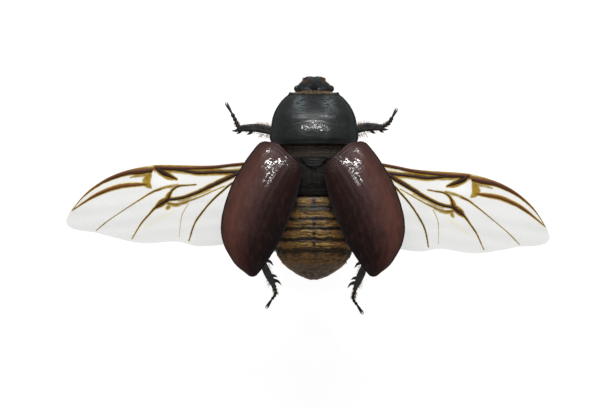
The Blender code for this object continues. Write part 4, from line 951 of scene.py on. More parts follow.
def elytron_net():
    """The left elytron's outer face, with its rims, shoulder, striae and wrinkles, and its masks."""
    rows, across = ELYTRON_NET
    s = (np.linspace(0, 1, rows) ** 1.1)[:, None]
    t = np.linspace(0, 1, across)
    t = (t - 0.05 * np.sin(FULL_TURN * t) / HALF_TURN)[None, :]
    inner, outer = curve(ELYTRON_INNER, s[:, 0]), curve(ELYTRON_OUTER, s[:, 0])
    flat = inner[:, None] * (1 - t[..., None]) + outer[:, None] * t[..., None]
    chord = ELYTRON_FRONT[0] + t[0][:, None] * (np.array(ELYTRON_FRONT[-1]) - ELYTRON_FRONT[0])
    flat += (curve(ELYTRON_FRONT, t[0]) - chord)[None] * (1 - s[..., None]) ** 4
    x, y = flat[..., 0], flat[..., 1] - ELYTRON_END_BULGE * 4 * t * (1 - t) * s**8
    plane = ELYTRON_BASE_Z + ELYTRON_LIFT * (ELYTRON_HINGE[1] - y) + ELYTRON_ROLL * (ELYTRON_HINGE[0] - x)
    arch = 1 - np.abs(2 * t - 1) ** ELYTRON_FULLNESS
    from_front = s * ELYTRON_LENGTH
    swell = (1 - 0.5 * step(from_front, 4.0, 0.0) ** 2) * (1 - s**4)
    net = np.stack([x, y, plane + ELYTRON_DOME * arch * swell], axis=-1)
    width = np.linalg.norm(outer - inner, axis=-1)[:, None]
    from_inner, from_outer = t * width, (1 - t) * width
    rise = ridges(from_inner, (0.14, 0.2, 0.16), (-0.1, 0.55, 0.14))
    rise += ridges(from_outer, (0.12, 0.12, 0.14), (-0.09, 0.45, 0.14))
    rise += ridges(from_front, (0.14, 0.25, 0.2), (-0.14, 0.75, 0.25))
    rise += 0.38 * hump(np.hypot(from_front - 2.6, (t - 0.72) * 11), 1.25)
    rise += 0.16 * hump(np.hypot(from_front - 16.0, (t - 0.5) * 9), 1.4)
    rise += 0.02 * np.cos(t * FULL_TURN * 9) * step(from_front, 0.0, 3.0) * (1 - s**3)
    shine = np.max([1.5 * hump(away_from(net, path), 0.75) for path in ELYTRON_SHINE], axis=0).clip(0, 1)
    rise += 0.012 * (1 - 0.7 * shine) * ripple(net, (0.45, 0.6, 0.5), 51)
    rise += 0.019 * np.sqrt(shine) * ripple(net, (0.22, 0.25, 0.22), 53, SHINE_WAVES)
    rise += 0.03 * ripple(net, 2.2, 52)
    net = relief(net, rise * np.clip(s * 60, 0, 1) * np.clip((1 - s) * 25, 0, 1), wrap=False)
    seam = np.clip(1.3 * hump(from_inner - 0.1, 0.2), 0, 1) * (1 - 0.7 * step(s, 0.35, 0.65))
    edge = np.clip(1.4 * hump(from_outer, 0.22), 0, 1)
    return net, (t + 0 * s, s + 0 * t, np.maximum(seam, edge) - shine)


def make_elytra(looks):
    upper, masks = elytron_net()
    out = normals(upper, wrap=False)
    if out[..., 2].mean() < 0:
        out = -out
    lower = upper - out * ELYTRON_SHELL
    lower[:, 0], lower[:, -1] = upper[:, 0] - ELYTRON_HEM, upper[:, -1] - ELYTRON_HEM
    lower[0], lower[-1] = upper[0] - ELYTRON_HEM, upper[-1] - ELYTRON_REAR_HEM
    net = closed_plate(upper, lower)
    paint = [spread_mask(mask) for mask in masks]
    for word, side in SIDES:
        placed = net * (-side, 1, 1) + (RIGHT_ELYTRON_SHIFT * (side > 0), 0, 0)
        plate(placed, f"elytron_{word}_shell", "elytron_brown", looks["elytron"], f"elytron_{word}", paint)


def spread_mask(mask):
    """A mask of a plate's upper face, carried round the closed net of the plate."""
    ring = np.concatenate([mask, mask[:, -1:], mask[:, ::-1], mask[:, :1]], axis=1)
    return np.concatenate([ring[:1], ring, ring[-1:]], axis=0)


# Hindwings

def wing_height(x, y):
    """The film's height: it rises to the tip, droops behind, and is arched and folded from front to rear."""
    span = np.maximum(WING_ROOT_X - x, 0.0)
    behind = np.maximum(WING_FRONT_Y - y, 0.0)
    arch = WING_CAMBER * np.sin(HALF_TURN * np.minimum(behind / WING_CHORD, 1.0))
    folds = 0.05 * np.sin(behind * 2.4 + x * 0.25) * np.clip(span / 6, 0, 1)
    return WING_ROOT_Z + WING_DIHEDRAL * span + arch - WING_DROOP * behind + folds


def wing_placed(points, side):
    """A left wing's points as they are, or at their place on the right wing."""
    if side < 0:
        return points
    flat = points[..., :2] * (-1, 1) @ RIGHT_WING_TURN + RIGHT_WING_SHIFT
    return np.concatenate([flat, points[..., 2:]], axis=-1)


def vein_line(vein, count=90):
    path, halves, border, depth = {**WING_VEINS, **WING_STAINS}[vein]
    places = np.linspace(0, 1, count)
    return curve(path, places), np.maximum(curve(halves, places), 0.02), border, depth


def amber_mask(x, y):
    """How amber the film is at each place, from its distance to the edge of each vein."""
    amber = np.zeros(x.shape)
    for vein in (*WING_VEINS, *WING_STAINS):
        line, halves, border, depth = vein_line(vein)
        beside = np.full(amber.shape, np.inf)
        for place, half in zip(line, halves):
            away = np.maximum(np.hypot(x - place[0], y - place[1]) - half, 0)
            beside = np.minimum(beside, away / (border * (0.25 + 0.75 * half / halves.max())))
        amber = np.maximum(amber, depth * np.exp(-(beside**1.6)))
    amber *= 1 - 0.95 * hump(x + 27.6, 0.22) * (y > 1.4) * (y < 4.2)
    return amber * (1 - 0.6 * hump(x + 14.6, 1.6) * hump(y - 4.55, 0.25))


def make_hindwings(looks):
    rows, across = WING_NET
    xs = WING_START_X - WING_SPAN * np.sin(np.linspace(0, HALF_TURN / 2, rows)) ** 1.15
    lead, trail = curve(WING_LEADING, np.linspace(0, 1, 600)), curve(WING_TRAILING, np.linspace(0, 1, 600))
    front = np.interp(-xs, -lead[:, 0], lead[:, 1])[:, None]
    back = np.interp(-xs, -trail[::-1, 0], trail[::-1, 1])[:, None]
    t = np.linspace(0, 1, across)[None, :]
    x = xs[:, None] + 0 * t
    y = front * (1 - t) + back * t
    amber = np.maximum(amber_mask(x, y), 0.35 * hump(y - front, 0.12) * step(x, -42.0, -38.0))
    cloud = 0.06 * ripple(np.stack([x, y], axis=-1), (4, 1.5), 61)
    haze = np.clip(0.5 + 0.25 * step(y, 2.5, -3.5) + cloud, 0, 1)
    haze *= 1 - 0.8 * hump(np.hypot(x + 25.5, (y - 2.9) * 1.4), 2.2)
    points = np.stack([x, y, wing_height(x, y)], axis=-1)
    net = closed_plate(points + (0, 0, WING_FILM / 2), points - (0, 0, WING_FILM / 2))
    paint = (spread_mask(amber), spread_mask(haze), 0)
    for word, side in SIDES:
        name, node = f"hindwing_{word}_film", f"hindwing_{word}"
        plate(wing_placed(net, side), name, "wing_membrane", looks["membrane"], node, paint)
        veins = Form()
        for vein in WING_VEINS:
            add_vein(veins, vein, side)
        veins.piece(f"hindwing_{word}_veins", "wing_membrane", looks["vein"], (node,))


def add_vein(form, vein, side):
    line, halves, _, _ = vein_line(vein)
    path = np.stack([*line.T, wing_height(*line.T)], axis=-1)
    net = limb_net(wing_placed(path, side), halves, halves * 0.55 + 0.02, VEIN_SIDES)
    # The tube's top and bottom, where the plain veins are painted paler as light shining through them
    top = np.clip(np.abs(np.sin(ring_turns(VEIN_SIDES))) * 1.6 - 0.75, 0, 1)
    middle = top[None, :] * np.clip(halves * 4, 0, 1)[:, None]
    middle = np.concatenate([middle[:1], middle, middle[-1:]])
    form.net(net, (middle, vein in WARM_VEINS, vein in ORANGE_VEINS))


# Limbs and small parts

def limb_net(path, wide_halves, thick_halves, sides, wide=None, rounded=(False, False)):
    """Rings along a path, closed to a point at each end, which may be rounded first.

    wide is the way that the width goes: level and square to the path if it isn't given.
    """
    path = np.asarray(path, float)
    along = unit(np.gradient(path, axis=0))
    wide_halves = np.broadcast_to(wide_halves, len(path)).astype(float)
    thick_halves = np.broadcast_to(thick_halves, len(path)).astype(float)
    for end, wanted in zip((0, -1), rounded):
        if wanted:
            turns = np.radians(ROUNDING)
            way = along[end] * (1 if end else -1)
            reach = min(wide_halves[end], thick_halves[end])
            shrink = np.cos(turns)
            added = (path[end] + way * reach * np.sin(turns)[:, None], np.tile(along[end], (len(turns), 1)),
                     wide_halves[end] * shrink, thick_halves[end] * shrink)
            parts = zip((path, along, wide_halves, thick_halves), added)
            joined = [np.concatenate([a, b] if end else [b[::-1], a]) for a, b in parts]
            path, along, wide_halves, thick_halves = joined
    wide = np.broadcast_to(np.cross(along, UP) if wide is None else wide, path.shape)
    across = unit(wide - along * (along * wide).sum(axis=-1, keepdims=True))
    thick = np.cross(along, across)
    turn = ring_turns(sides)[None, :, None]
    rings = path[:, None] + across[:, None] * wide_halves[:, None, None] * np.cos(turn)
    rings = rings + thick[:, None] * thick_halves[:, None, None] * np.sin(turn)
    first, last = (np.broadcast_to(path[end], (1, sides, 3)) for end in (0, -1))
    return np.concatenate([first, rings, last])


def sized_limb(points, sizes, count, sides, wide=None):
    """A limb with rounded ends through these points; its sizes are half widths with half thicknesses."""
    places = np.linspace(0, 1, count)
    halves = curve(sizes, places)
    return limb_net(curve(points, places), halves[:, 0], halves[:, 1], sides, wide, (True, True))


def spike_net(root, tip, radius, bend=(0, 0, 0), flat=1.0, wide=(0.3, 0.5, 1.0), sides=8):
    """A spike that tapers to its tip, bowed by the bend at its middle."""
    root, tip, places = np.asarray(root, float), np.asarray(tip, float), np.linspace(0, 1, 8)
    taper = radius * (1 - places**1.6) + radius * 0.06
    return limb_net(curve((root, (root + tip) / 2 + bend, tip), places), taper, taper * flat, sides, wide)


def ball_net(centre, size, rows=24, sides=36):
    """An ellipsoid, its rings square to Z."""
    lift = np.linspace(-HALF_TURN / 2, HALF_TURN / 2, rows)[:, None]
    turn = ring_turns(sides)[None, :]
    level = np.cos(lift)
    net = np.stack([level * np.cos(turn), level * np.sin(turn), np.sin(lift) + 0 * turn], axis=-1)
    return net * np.asarray(size, float) + centre


def mirrored(points, side):
    return np.asarray(points, float) * (side, 1, 1)


# Head

def make_head(looks):
    """The head's shell, with a small blunt horn and a two-lobed front edge."""
    bend = np.linspace(0, HALF_TURN / 2, 12)
    ys, scales = with_ends(np.linspace(*HEAD_RINGS), "plug", "cuff")
    ys = np.concatenate([ys[:-6], HEAD_RINGS[1] + 0.22 * np.sin(bend), [20.48]])
    scales = np.concatenate([scales[:-6], 0.25 + 0.75 * np.cos(bend), [0.0]])
    net = trunk_net(HEAD, ys, scales)
    x, y = net[..., 0], net[..., 1]
    beside = np.abs(x)
    _, above, side = around(net)
    front = step(y, 19.4, 20.2)
    horn = np.clip(1 - np.hypot(x, y - HORN_Y) / (2.2 * HORN_WIDTH), 0, 1)
    rise = HORN_HEIGHT * horn**1.5 + 0.1 * hump(beside - 1.75, 0.4) * hump(y - 18.65, 0.4)
    rise -= 0.09 * hump(y - 19.22 + 0.1 * beside, 0.07)
    rise += front * (0.09 * hump(side, 0.25) + 0.08 * hump(y - 20.4, 0.12) - 0.1 * hump(x, 0.7))
    socket = 0.12 * hump(np.hypot(beside - EYE_CENTRE[0], y - EYE_CENTRE[1]) - 0.8, 0.12)
    rise = above * rise + socket + 0.02 * ripple(net, 0.35, 71) + 0.02 * ripple(net, 0.8, 72)
    net = relief(net, rise * whole(scales))
    lobes = 0.2 * hump(x, 0.4) + 0.5 * np.clip(beside - 1.25, 0, 1)
    net[..., 1] += (0.04 - lobes) * front
    net[..., 0] *= 1 - CLYPEUS_WAIST * step(y, 19.1, 19.6)
    paint = (step(y, 18.2, 17.95), front * above, 0)
    plate(net, "head_shell", "thorax_black", looks["head"], "head", paint)
    for word, side in SIDES:
        lobe = sized_limb(mirrored(CANTHUS_PATH, side), CANTHUS_SIZES, 16, 16, (side, 0.9, 0))
        plate(lobe, f"head_canthus_{word}", "thorax_black", looks["head"], "head")


def make_eyes(looks):
    for word, side in SIDES:
        ball = ball_net(mirrored(EYE_CENTRE, side), EYE_RADIUS, 40, 56)
        plate(ball, f"eye_{word}_lens", "eye_black", looks["eye"], f"eye_{word}")


def make_mouth(looks):
    """Toothed mandibles, jointed palps and the upper lip."""
    for word, side in SIDES:
        path = np.array(MANDIBLE_PATH) - (0, 0.05, 0)
        net = sized_limb(mirrored(path, side), MANDIBLE_SIZES, 30, 20, (1, 0, 0))
        net = relief(net, 0.025 * ripple(net, 0.4, 81))
        jaw = Form().net(net, (step(net[..., 1], 19.9, 20.4), 0, 0))
        tooth = spike_net(mirrored((1.5, 19.8, -2.75), side), mirrored((1.0, 20.2, -2.5), side), 0.16)
        jaw.net(tooth, (0.8, 0, 0))
        jaw.piece(f"mandible_{word}_jaw", "mouth_brown", looks["mouth"], (f"mandible_{word}",))
        palp = Form()
        for points, ends, halves in PALPS:
            add_joints(palp, mirrored(points, side), ends, halves)
        palp.piece(f"palp_{word}_joints", "mouth_brown", looks["mouth"], (f"palp_{word}",))
    lip = ball_net(LABRUM_CENTRE, LABRUM_SIZE)
    lip = relief(lip, 0.03 * ripple(lip, 0.4, 82))
    plate(lip, "labrum_plate", "mouth_brown", looks["mouth"], "labrum")


def add_joints(form, points, ends, halves):
    """Joints in a row along a curve, each widest past its middle."""
    swell = np.array((0.55, 0.75, 0.88, 0.97, 1.0, 0.98, 0.85))
    for start, end, half in zip(ends, ends[1:], halves):
        path = curve(points, np.linspace(start, end, len(swell)))
        form.net(limb_net(path, half * swell, half * swell, 14, (1, 0, 0), (True, True)))


def make_antennae(looks):
    """A long first joint, a beaded stalk, and three leaves that fan out."""
    for word, side in SIDES:
        path = mirrored(ANTENNA_PATH, side)
        form = Form()
        add_joints(form, path, ANTENNA_ENDS, ANTENNA_HALVES)
        root = path[-1] + (0, 0, 0.12)
        for i in range(CLUB_LEAVES):
            fan = math.radians(CLUB_FAN * (i - (CLUB_LEAVES - 1) / 2))
            reach = np.array((-side * 0.35, math.sin(fan), -math.cos(fan))) * CLUB_LENGTH
            line = (root, root + reach * 0.5 + (side * 0.1, 0, 0), root + reach)
            leaf = sized_limb(line, CLUB_SIZES, 20, 18, (1, 0, 0))
            form.net(relief(leaf, 0.01 * ripple(leaf, 0.3, 83 + i)))
        form.piece(f"antenna_{word}_joints", "mouth_brown", looks["mouth"], (f"antenna_{word}",))


# Legs

class Leg:
    """A leg's joints, and the ways that its thigh and shin go and that its spined edge faces."""

    def __init__(self, number, name):
        self.number, self.name = number, name
        self.pair, word = name.split("_")
        self.hip, self.knee, self.ankle, self.toes = (np.array(part) for part in LEGS[name])
        self.thigh, self.shin = unit(self.knee - self.hip), unit(self.ankle - self.knee)
        side = dict(SIDES)[word]
        edge = {"fore": (0, -1, 0), "mid": (side, 0, 0), "hind": (-side, 0, 0)}[self.pair]
        self.edge = unit(edge - self.shin * self.shin.dot(edge))

    def piece(self, form, part, kind, look):
        form.piece(f"{part}_{self.name}_{kind}", "leg_black", look, (f"{part}_{self.name}",))


def make_legs(looks):
    for leg in ALL_LEGS:
        make_coxa(leg, looks)
        make_femur(leg, looks)
        make_tibia(leg, looks)
        make_tarsus(leg, looks)


def make_coxa(leg, looks):
    net = ball_net(leg.hip, COXA_SIZE, 30, 44)
    form = Form().net(relief(net, 0.05 * ripple(net, 0.9, 91 + leg.number)))
    ring = (leg.hip + leg.thigh * 0.9, leg.hip + leg.thigh * 1.9)
    form.net(sized_limb(ring, ((0.62, 0.6), (0.78, 0.7)), 10, 24))
    leg.piece(form, "coxa", "joint", looks["leg"])


def make_femur(leg, looks):
    """A stout, slightly flattened limb with a sharp lower edge and a groove for the tibia."""
    start = leg.hip + leg.thigh * FEMUR_START
    path = (start, (start + leg.knee) / 2 + (0, FEMUR_BOW, 0), leg.knee)
    net = sized_limb(path, FEMUR_SIZES, 50, 36, np.cross(leg.thigh, UP))
    turn = ring_turns(36)[None, :]
    t = np.linspace(0, 1, len(net))[:, None]
    rise = ridges(turn, (0.05, HALF_TURN, 0.25), (0.05, 0, 0.25), (0.05, FULL_TURN, 0.25))
    rise = rise + ridges(t, (0.08, 0.9, 0.03), (-0.07, 0.85, 0.025))
    rise -= 0.1 * hump(turn - HALF_TURN / 2, 0.5) * hump(t - 0.97, 0.06)
    net = relief(net, rise + 0.025 * ripple(net, (0.8, 0.5, 0.5), 101 + leg.number))
    leg.piece(Form().net(net), "femur", "limb", looks["leg"])


def make_tibia(leg, looks):
    """A flat ridged shin that widens to its end, with teeth, spurs, rows of spines and a ring of them."""
    along, edge, ankle, sizes = leg.shin, leg.edge, leg.ankle, TIBIA_SIZES[leg.pair]
    start = leg.knee + along * (KNEE_RADIUS * 0.55)
    middle = (start + ankle) / 2 - edge * TIBIA_BOW[leg.pair]
    net = sized_limb((start, middle, ankle), sizes, 56, 32, edge)
    turn = ring_turns(32)[None, :]
    t = np.linspace(0, 1, len(net))[:, None]
    keels = 0.05 * np.cos(turn * 4) * np.clip(t * 4, 0, 1) * np.clip((1 - t) * 12, 0, 1)
    form = Form().net(relief(net, keels + 0.02 * ripple(net, 0.4, 111 + leg.number)))
    for place, length, lean in EDGE_TEETH[leg.pair]:
        root = start + (ankle - start) * place + edge * 0.05
        tip = root + unit(edge + along * lean) * (length + 0.45)
        form.net(spike_net(root, tip, 0.34, (edge - along) * 0.16 * length, 0.75, along, 12))
    half_width, half_thick = sizes[-1]
    for way in SPUR_SIDES[leg.pair]:
        root = ankle - along * 0.45 + edge * way * (half_width - 0.22)
        tip = ankle + along * SPUR_LENGTH * (0.9 + 0.1 * way) + edge * way * (half_width + SPUR_SPREAD)
        form.net(spike_net(root, tip, 0.17, along * 0.05), (0.5, 0, 0))
    thick = np.cross(along, edge)
    draw = np.random.default_rng(120 + leg.number)
    for way in (-1, 1):
        for place in np.linspace(0.25, 0.93, 9):
            root = start + (ankle - start) * (place + draw.uniform(-0.02, 0.02))
            root += edge * (way * curve(sizes, [place])[0, 0] * 0.85 - 0.15 * math.sin(HALF_TURN * place))
            out = unit(edge * way + along * 1.3 + thick * draw.uniform(-0.8, 0.8))
            form.net(spike_net(root, root + out * draw.uniform(0.2, 0.36), 0.035, sides=5), (0.6, 0, 0))
    for angle in ring_turns(14):
        out = edge * math.cos(angle) * half_width + thick * math.sin(angle) * half_thick
        root = ankle - along * 0.1 + out * 0.85
        form.net(spike_net(root, root + unit(along + out * 0.5) * 0.42, 0.07, sides=5), (0.6, 0, 0))
    # The hind tibiae take a paler copy of the legs' black, as painted light for the shade of the elytra
    leg.piece(form, "tibia", "limb", looks["hind_tibia_painted_light" if leg.pair == "hind" else "leg"])


def make_tarsus(leg, looks):
    """Five joints that widen to their ends, with bristles under them, and two curved claws."""
    path = np.array([leg.ankle + leg.shin * 0.12, *leg.toes])
    shares = np.array((0.0, 0.08, 0.3, 0.6, 0.82, 0.95))
    swell = np.array((0.0, 0.1, 0.25, 0.75, 1.0, 0.85))
    form = Form()
    for start, end in zip(TARSUS_ENDS, TARSUS_ENDS[1:]):
        thick = TARSUS_THICK[leg.pair if end < 1 else "hind"]
        half = TARSUS_THIN + (thick - TARSUS_THIN) * swell
        points = curve(path, start + (end - start) * shares)
        form.net(limb_net(points, half, half * 0.9, 16, UP, (True, True)))
        way = unit(points[-1] - points[-2])
        out = unit(np.cross(way, UP))
        for turn in (-1.1, -0.4, 0.4, 1.1):
            root = points[-1] - way * 0.12 + out * math.sin(turn) * 0.22 - UP * 0.2 * math.cos(turn)
            tip = root + way * 0.3 + out * math.sin(turn) * 0.16 - UP * 0.22
            form.net(spike_net(root, tip, 0.035, sides=5), (0.3, 0, 0))
    way = unit(path[-1] - path[-2])
    out = unit(np.cross(way, UP))
    places = np.linspace(0, 1, 16)
    taper = 0.15 * (1 - places**1.5) + 0.015
    for turn in (-1, 1):
        root = path[-1] - way * 0.1 + out * turn * 0.1
        middle = path[-1] + way * CLAW_LENGTH * 0.5 + out * turn * CLAW_SPREAD
        tip = path[-1] + way * CLAW_LENGTH + out * turn * CLAW_SPREAD * 0.45 - UP * 0.35
        claw = limb_net(curve((root, middle, tip), places), taper, taper, 12, UP, (True, False))
        form.net(claw, (np.linspace(0.1, 0.5, len(claw))[:, None], 0, 0))
    leg.piece(form, "tarsus", "joints", looks["leg"])


# Hair

class Coat(Form):
    """Fine hairs as closed meshes, each with its own small patch of the map that bakes use."""

    def __init__(self):
        super().__init__()
        self.uv = []

    def hairs(self, roots, ways, lengths, unwrapped, droop=0.25):
        """Three-sided hairs that bow down. unwrapped is each root's place on the skin's unwrap."""
        ways, lengths = unit(ways), lengths[:, None]
        fall = -UP * droop * lengths
        side = unit(np.cross(ways, HAIR_ASKEW))
        up = np.cross(side, ways)
        rings = []
        for share, thin in HAIR_RINGS:
            centre = roots + ways * lengths * share + fall * max(share, 0) ** 2
            for turn in ring_turns(3):
                rings.append(centre + (side * math.cos(turn) + up * math.sin(turn)) * HAIR_RADIUS * thin)
        rings.append(roots + ways * lengths + fall)
        self.points.append(np.stack(rings, axis=1).reshape(-1, 3))
        count = len(roots)
        base = self.count + 10 * np.arange(count)[:, None]
        quads = [(k + j, k + (j + 1) % 3, k + 3 + (j + 1) % 3, k + 3 + j) for k in (0, 3) for j in range(3)]
        tris = [(6 + j, 6 + (j + 1) % 3, 9) for j in range(3)] + [(2, 1, 0)]
        for face in quads + tris:
            self.faces += (base + face).tolist()
        tone = np.repeat(np.random.default_rng(count).uniform(0, 1, count), 10)
        share = np.tile(np.repeat((0.0, 0.35, 0.7, 1.0), (3, 3, 3, 1)), count)
        self.paint.append(np.stack([tone, share, 0 * share], axis=-1))
        patch = np.array([(0, 0), (1, 0), (0.5, 1)] * 3 + [(0.5, 0.5)]) * HAIR_PATCH
        self.uv.append((unwrapped[:, None] + patch).reshape(-1, 2))
        self.count += 10 * count

    def piece(self, name, slot, look):
        made = super().piece(name, slot, look, smooth=180, weld=False)
        where = np.concatenate(self.uv)
        layer = made.data.uv_layers.new(name="OFBake")
        corners = np.empty(len(made.data.loops), dtype=np.int32)
        made.data.loops.foreach_get("vertex_index", corners)
        layer.data.foreach_set("uv", where[corners].ravel().astype(np.float32))


def on_trunk(rows, ys, turns):
    """Points of a part of the trunk and the way out of its skin there."""
    places = []
    for dy, dturn in ((0, 0), (0.05, 0), (0, 0.02)):
        half, top, bottom, waist = stations(rows, ys + dy)
        c, s = np.cos(turns + dturn), np.sin(turns + dturn)
        reach = np.where(s > 0, top - waist, waist - bottom)
        places.append(np.stack([half * fuller(c), ys + dy, waist + reach * fuller(s)], axis=-1))
    out = unit(np.cross(places[1] - places[0], places[2] - places[0]))
    centre = np.stack([0 * ys, ys, 0 * ys - 0.7], axis=-1)
    facing = np.sign(((places[0] - centre) * out).sum(axis=-1, keepdims=True))
    return places[0], out * facing


def trunk_unwrap(ys, turns, cell):
    """Places on the unwrap of the trunk, in the upright strip of this number out of four."""
    share = (turns % FULL_TURN) / FULL_TURN
    return np.stack([(cell + 0.04 + 0.9 * share) / 4, 0.05 + 0.9 * (ys + 15) / 36], axis=-1)


def add_trunk_hair(coat, rows, y_range, turn_range, count, length, lean, seed, cell, lift=0.0):
    """Hairs scattered over part of the trunk, leaning forwards, or back where lean is below zero."""
    draw = np.random.default_rng(seed)
    ys = draw.uniform(*y_range, count)
    turns = draw.uniform(*turn_range, count)
    roots, out = on_trunk(rows, ys, turns)
    ways = out + (0, lean, 0) + draw.normal(size=(count, 3)) * 0.22
    roots = roots - out * 0.03 + UP * lift
    coat.hairs(roots, ways, draw.uniform(*length, count), trunk_unwrap(ys, turns, cell))


def make_coats(looks):
    make_thorax_coat(looks)
    make_abdomen_coat(looks)
    make_leg_coat(looks)
    make_strip_coat(looks)
    make_mouth_coat(looks)
    make_collar(looks)
    make_bristles(looks)


def make_thorax_coat(looks):
    """Long hair under the thorax and along its sides."""
    coat = Coat()
    below = (HALF_TURN + 0.45, FULL_TURN - 0.45)
    add_trunk_hair(coat, PROTHORAX, (8.9, 16.8), below, 1500, (0.7, 1.5), -0.7, 202, 0)
    for turns, seed in (((HALF_TURN - 0.1, HALF_TURN + 1.1), 204), ((-1.1, 0.1), 205)):
        add_trunk_hair(coat, PTEROTHORAX, (0.2, 8.3), turns, 1100, (0.7, 1.6), -0.9, seed, 1)
    coat.piece("coat_thorax", "thorax_black", looks["hair"])


def make_abdomen_coat(looks):
    """Short hair under the rear edge of each ring, and along the sides of the last ones."""
    coat = Coat()
    below = (HALF_TURN + 0.1, FULL_TURN - 0.1)
    for rear in SEGMENT_ENDS[1:]:
        place, seed = (rear + 0.03, rear + 0.3), 210 + int(-rear)
        add_trunk_hair(coat, ABDOMEN, place, below, 130, (0.3, 0.6), -1.6, seed, 2)
    for turns, seed in (((-0.5, -0.1), 231), ((HALF_TURN + 0.1, HALF_TURN + 0.5), 232)):
        add_trunk_hair(coat, ABDOMEN, (-14.4, -9.0), turns, 110, (0.15, 0.3), -1.8, seed, 2)
    coat.piece("coat_abdomen", "abdomen_gold", looks["hair"])


def make_strip_coat(looks):
    """Rows of dark hair that lie back over the strip behind the pronotum."""
    coat = Coat()
    above = (0.85, HALF_TURN - 0.85)
    for y in (8.45, 8.0, 7.55, 7.1, 6.75):
        place, seed = (y - 0.1, y + 0.1), 290 + int(y * 10)
        add_trunk_hair(coat, PTEROTHORAX, place, above, 420, (0.35, 0.6), -2.4, seed, 1, 0.22)
    coat.piece("coat_strip", "thorax_black", looks["dark_hair"])


def make_collar(looks):
    """A pale fringe on the front edge of the pronotum, longest in its middle."""
    coat = Coat()
    draw = np.random.default_rng(271)
    turns = draw.uniform(0.7, HALF_TURN - 0.7, COLLAR_HAIRS)
    ys = draw.uniform(17.3, 17.58, COLLAR_HAIRS)
    roots, out = on_trunk(PROTHORAX, ys, turns)
    ways = out * 0.6 + (0, 1.5, 0) + draw.normal(size=(COLLAR_HAIRS, 3)) * 0.2
    longest = 0.22 + 0.33 * np.clip(1 - (roots[:, 0] / 3.7) ** 2, 0, 1)
    lengths = longest * draw.uniform(0.7, 1.1, COLLAR_HAIRS)
    coat.hairs(roots - out * 0.03, ways, lengths, trunk_unwrap(ys, turns, 0), droop=0.3)
    coat.piece("coat_collar", "thorax_black", looks["collar_hair"])


def make_bristles(looks):
    """Fans of stiff yellow bristles where the fore and hind feet begin."""
    coat = Coat()
    draw = np.random.default_rng(281)
    for leg in ALL_LEGS:
        if leg.pair == "mid":
            continue
        first = leg.toes[0] - leg.ankle
        way = unit(first)
        across = unit(np.cross(way, UP))
        share = draw.uniform(0.1, 0.9, BRISTLES)
        turn = draw.uniform(-1, 1, BRISTLES)
        roots = leg.ankle + first * share[:, None] + across * np.sign(turn)[:, None] * 0.2
        ways = way + across * (turn * 0.9)[:, None] + draw.normal(size=(BRISTLES, 3)) * 0.15
        unwrapped = np.stack([0.05 + 0.15 * leg.number + 0.1 * share, 0.5 + 0.3 * turn], axis=-1)
        coat.hairs(roots, ways, draw.uniform(0.45, 0.8, BRISTLES), unwrapped, droop=0.1)
    coat.piece("coat_bristles", "leg_black", looks["gold_hair"])


def make_leg_coat(looks):
    """Hair on all the legs."""
    coat = Coat()
    for leg in ALL_LEGS:
        add_leg_hair(coat, leg)
    coat.piece("coat_legs", "leg_black", looks["hair"])


def add_leg_hair(coat, leg):
    """Long hairs along both edges of the femur and of the tibia, and longer ones on the fore tibia."""
    draw = np.random.default_rng(240 + leg.number)
    knee, along, edge = leg.knee, leg.shin, leg.edge
    level = unit(np.cross(leg.thigh, UP))
    femur, tibia = (leg.hip + leg.thigh * 1.9, knee), (knee + along * 0.8, leg.ankle - along * 0.5)
    rows = [
        (*femur, level, leg.thigh, 110, (0.5, 1.1), 0.8), (*femur, -level, leg.thigh, 110, (0.5, 1.1), 0.8),
        (*tibia, -edge, along, 100, (0.5, 1.15), 0.45), (*tibia, edge, along, 40, (0.35, 0.7), 0.45),
    ]
    if leg.pair == "fore":
        rows += [(knee + along * 1.2, knee + along * 3.7, -edge, along, 90, (0.8, 1.5), 0.8),
                 (knee + along * 1.4, knee + along * 3.2, edge, along, 40, (0.6, 1.1), 0.9)]
    for row, (start, end, out, forward, count, length, width) in enumerate(rows):
        share = draw.uniform(0, 1, count)
        spread = draw.uniform(-1, 1, count)
        down = -UP * spread[:, None]
        roots = start + (end - start) * share[:, None] + out * width * 0.72 + down * 0.3
        ways = out + forward * 0.5 + draw.normal(size=(count, 3)) * 0.28 + down * 0.35
        u = 0.03 + (leg.number + 0.9 * share) / 6.3
        v = 0.05 + (row + 0.4 + 0.4 * spread) / 6.6
        coat.hairs(roots, ways, draw.uniform(*length, count), np.stack([u, v], axis=-1), droop=0.15)


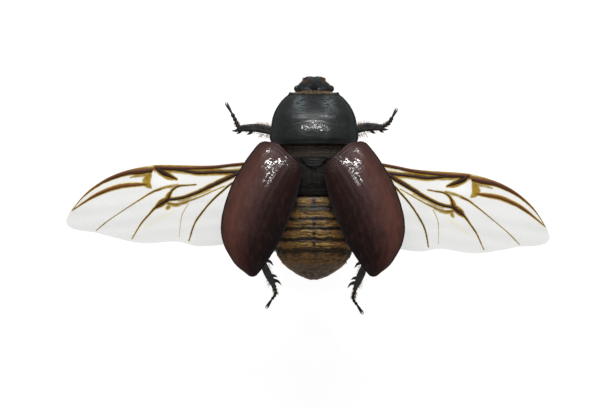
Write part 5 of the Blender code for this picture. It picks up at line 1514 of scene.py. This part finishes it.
def make_mouth_coat(looks):
    """A fringe on the upper lip, brushes on the jaws and short hairs on the underside of the head."""
    coat = Coat()
    draw = np.random.default_rng(260)
    share = draw.uniform(-1, 1, LIP_HAIRS)
    level = 0 * share
    roots = LABRUM_CENTRE + np.stack([share * 0.78, 0.62 * np.sqrt(1 - share**2), level], axis=-1)
    ways = np.stack([share * 0.6, level + 0.2, level - 1], axis=-1) + draw.normal(size=(LIP_HAIRS, 3)) * 0.12
    place = np.stack([0.5 + share * 0.2, level + 0.9], axis=-1)
    coat.hairs(roots, ways, draw.uniform(0.25, 0.45, LIP_HAIRS), place)
    for _, side in SIDES:
        share = draw.uniform(0, 0.75, JAW_HAIRS)
        roots = curve(mirrored(MANDIBLE_PATH, side), share) + (side * 0.3, 0, 0.12)
        ways = draw.normal(size=(JAW_HAIRS, 3)) * 0.3 + (side * 0.6, 0.5, 0.5)
        place = np.stack([0.5 + side * (0.1 + 0.3 * share), 0 * share + 0.6], axis=-1)
        coat.hairs(roots, ways, draw.uniform(0.2, 0.42, JAW_HAIRS), place)
    below = (HALF_TURN + 0.3, FULL_TURN - 0.3)
    add_trunk_hair(coat, HEAD, (18.0, 19.3), below, 260, (0.4, 0.8), 0.5, 261, 3)
    coat.piece("coat_mouth", "mouth_brown", looks["hair"])


# Stand

def make_stand(looks):
    """A turned round foot and a slim steel rod."""
    turns = np.radians(np.linspace(0, 90, 10))
    inner, low, top = BASE_RADIUS - BASE_BEVEL, BASE_HEIGHT - BASE_BEVEL, BASE_HEIGHT
    profile = [(0.0, 0.0), (BASE_RADIUS - 0.3, 0.0), (BASE_RADIUS, 0.25)]
    profile += [(inner + BASE_BEVEL * math.cos(a), low + BASE_BEVEL * math.sin(a)) for a in turns]
    profile += [(inner - 0.25, top), (inner - 0.4, top - 0.1), (inner - 0.7, top - 0.1), (inner - 0.85, top)]
    profile += [(1.9, top), (0.0, top)]
    net = turned(profile, 0.0, 128)
    plate(net, "stand_base_disc", "stand_white", looks["base"], "stand_base", smooth=35)
    profile = [(0.0, top - 0.3), (ROD_COLLAR, top - 0.3), (ROD_COLLAR, top + 0.35), (1.5, top + 0.6)]
    profile += [(ROD_RADIUS, top + 0.65), (ROD_RADIUS, ROD_TOP - 0.1)]
    profile += [(ROD_RADIUS - 0.1, ROD_TOP), (0.0, ROD_TOP + 0.3)]
    net = turned(profile, ROD_Y, 48)
    plate(net, "stand_rod_post", "stand_steel", looks["rod"], "stand_rod", smooth=35)


def turned(profile, y, sides):
    """A net turned about an upright axis; its heights are above the floor."""
    turn = ring_turns(sides)
    c, s = np.cos(turn), np.sin(turn)
    return np.array([np.stack([r * c, y + r * s, 0 * turn + z - BODY_Z], axis=-1) for r, z in profile])


ALL_LEGS = [Leg(number, name) for number, name in enumerate(LEGS)]
PARTS = (make_prothorax, make_pterothorax, make_scutellum, make_abdomen, make_pygidium, make_elytra,
         make_hindwings, make_head, make_eyes, make_mouth, make_antennae, make_legs, make_coats, make_stand)


def main():
    make_camera()
    looks = make_looks()
    make_floor()
    make_lights()
    for make_part in PARTS:
        make_part(looks)


main()
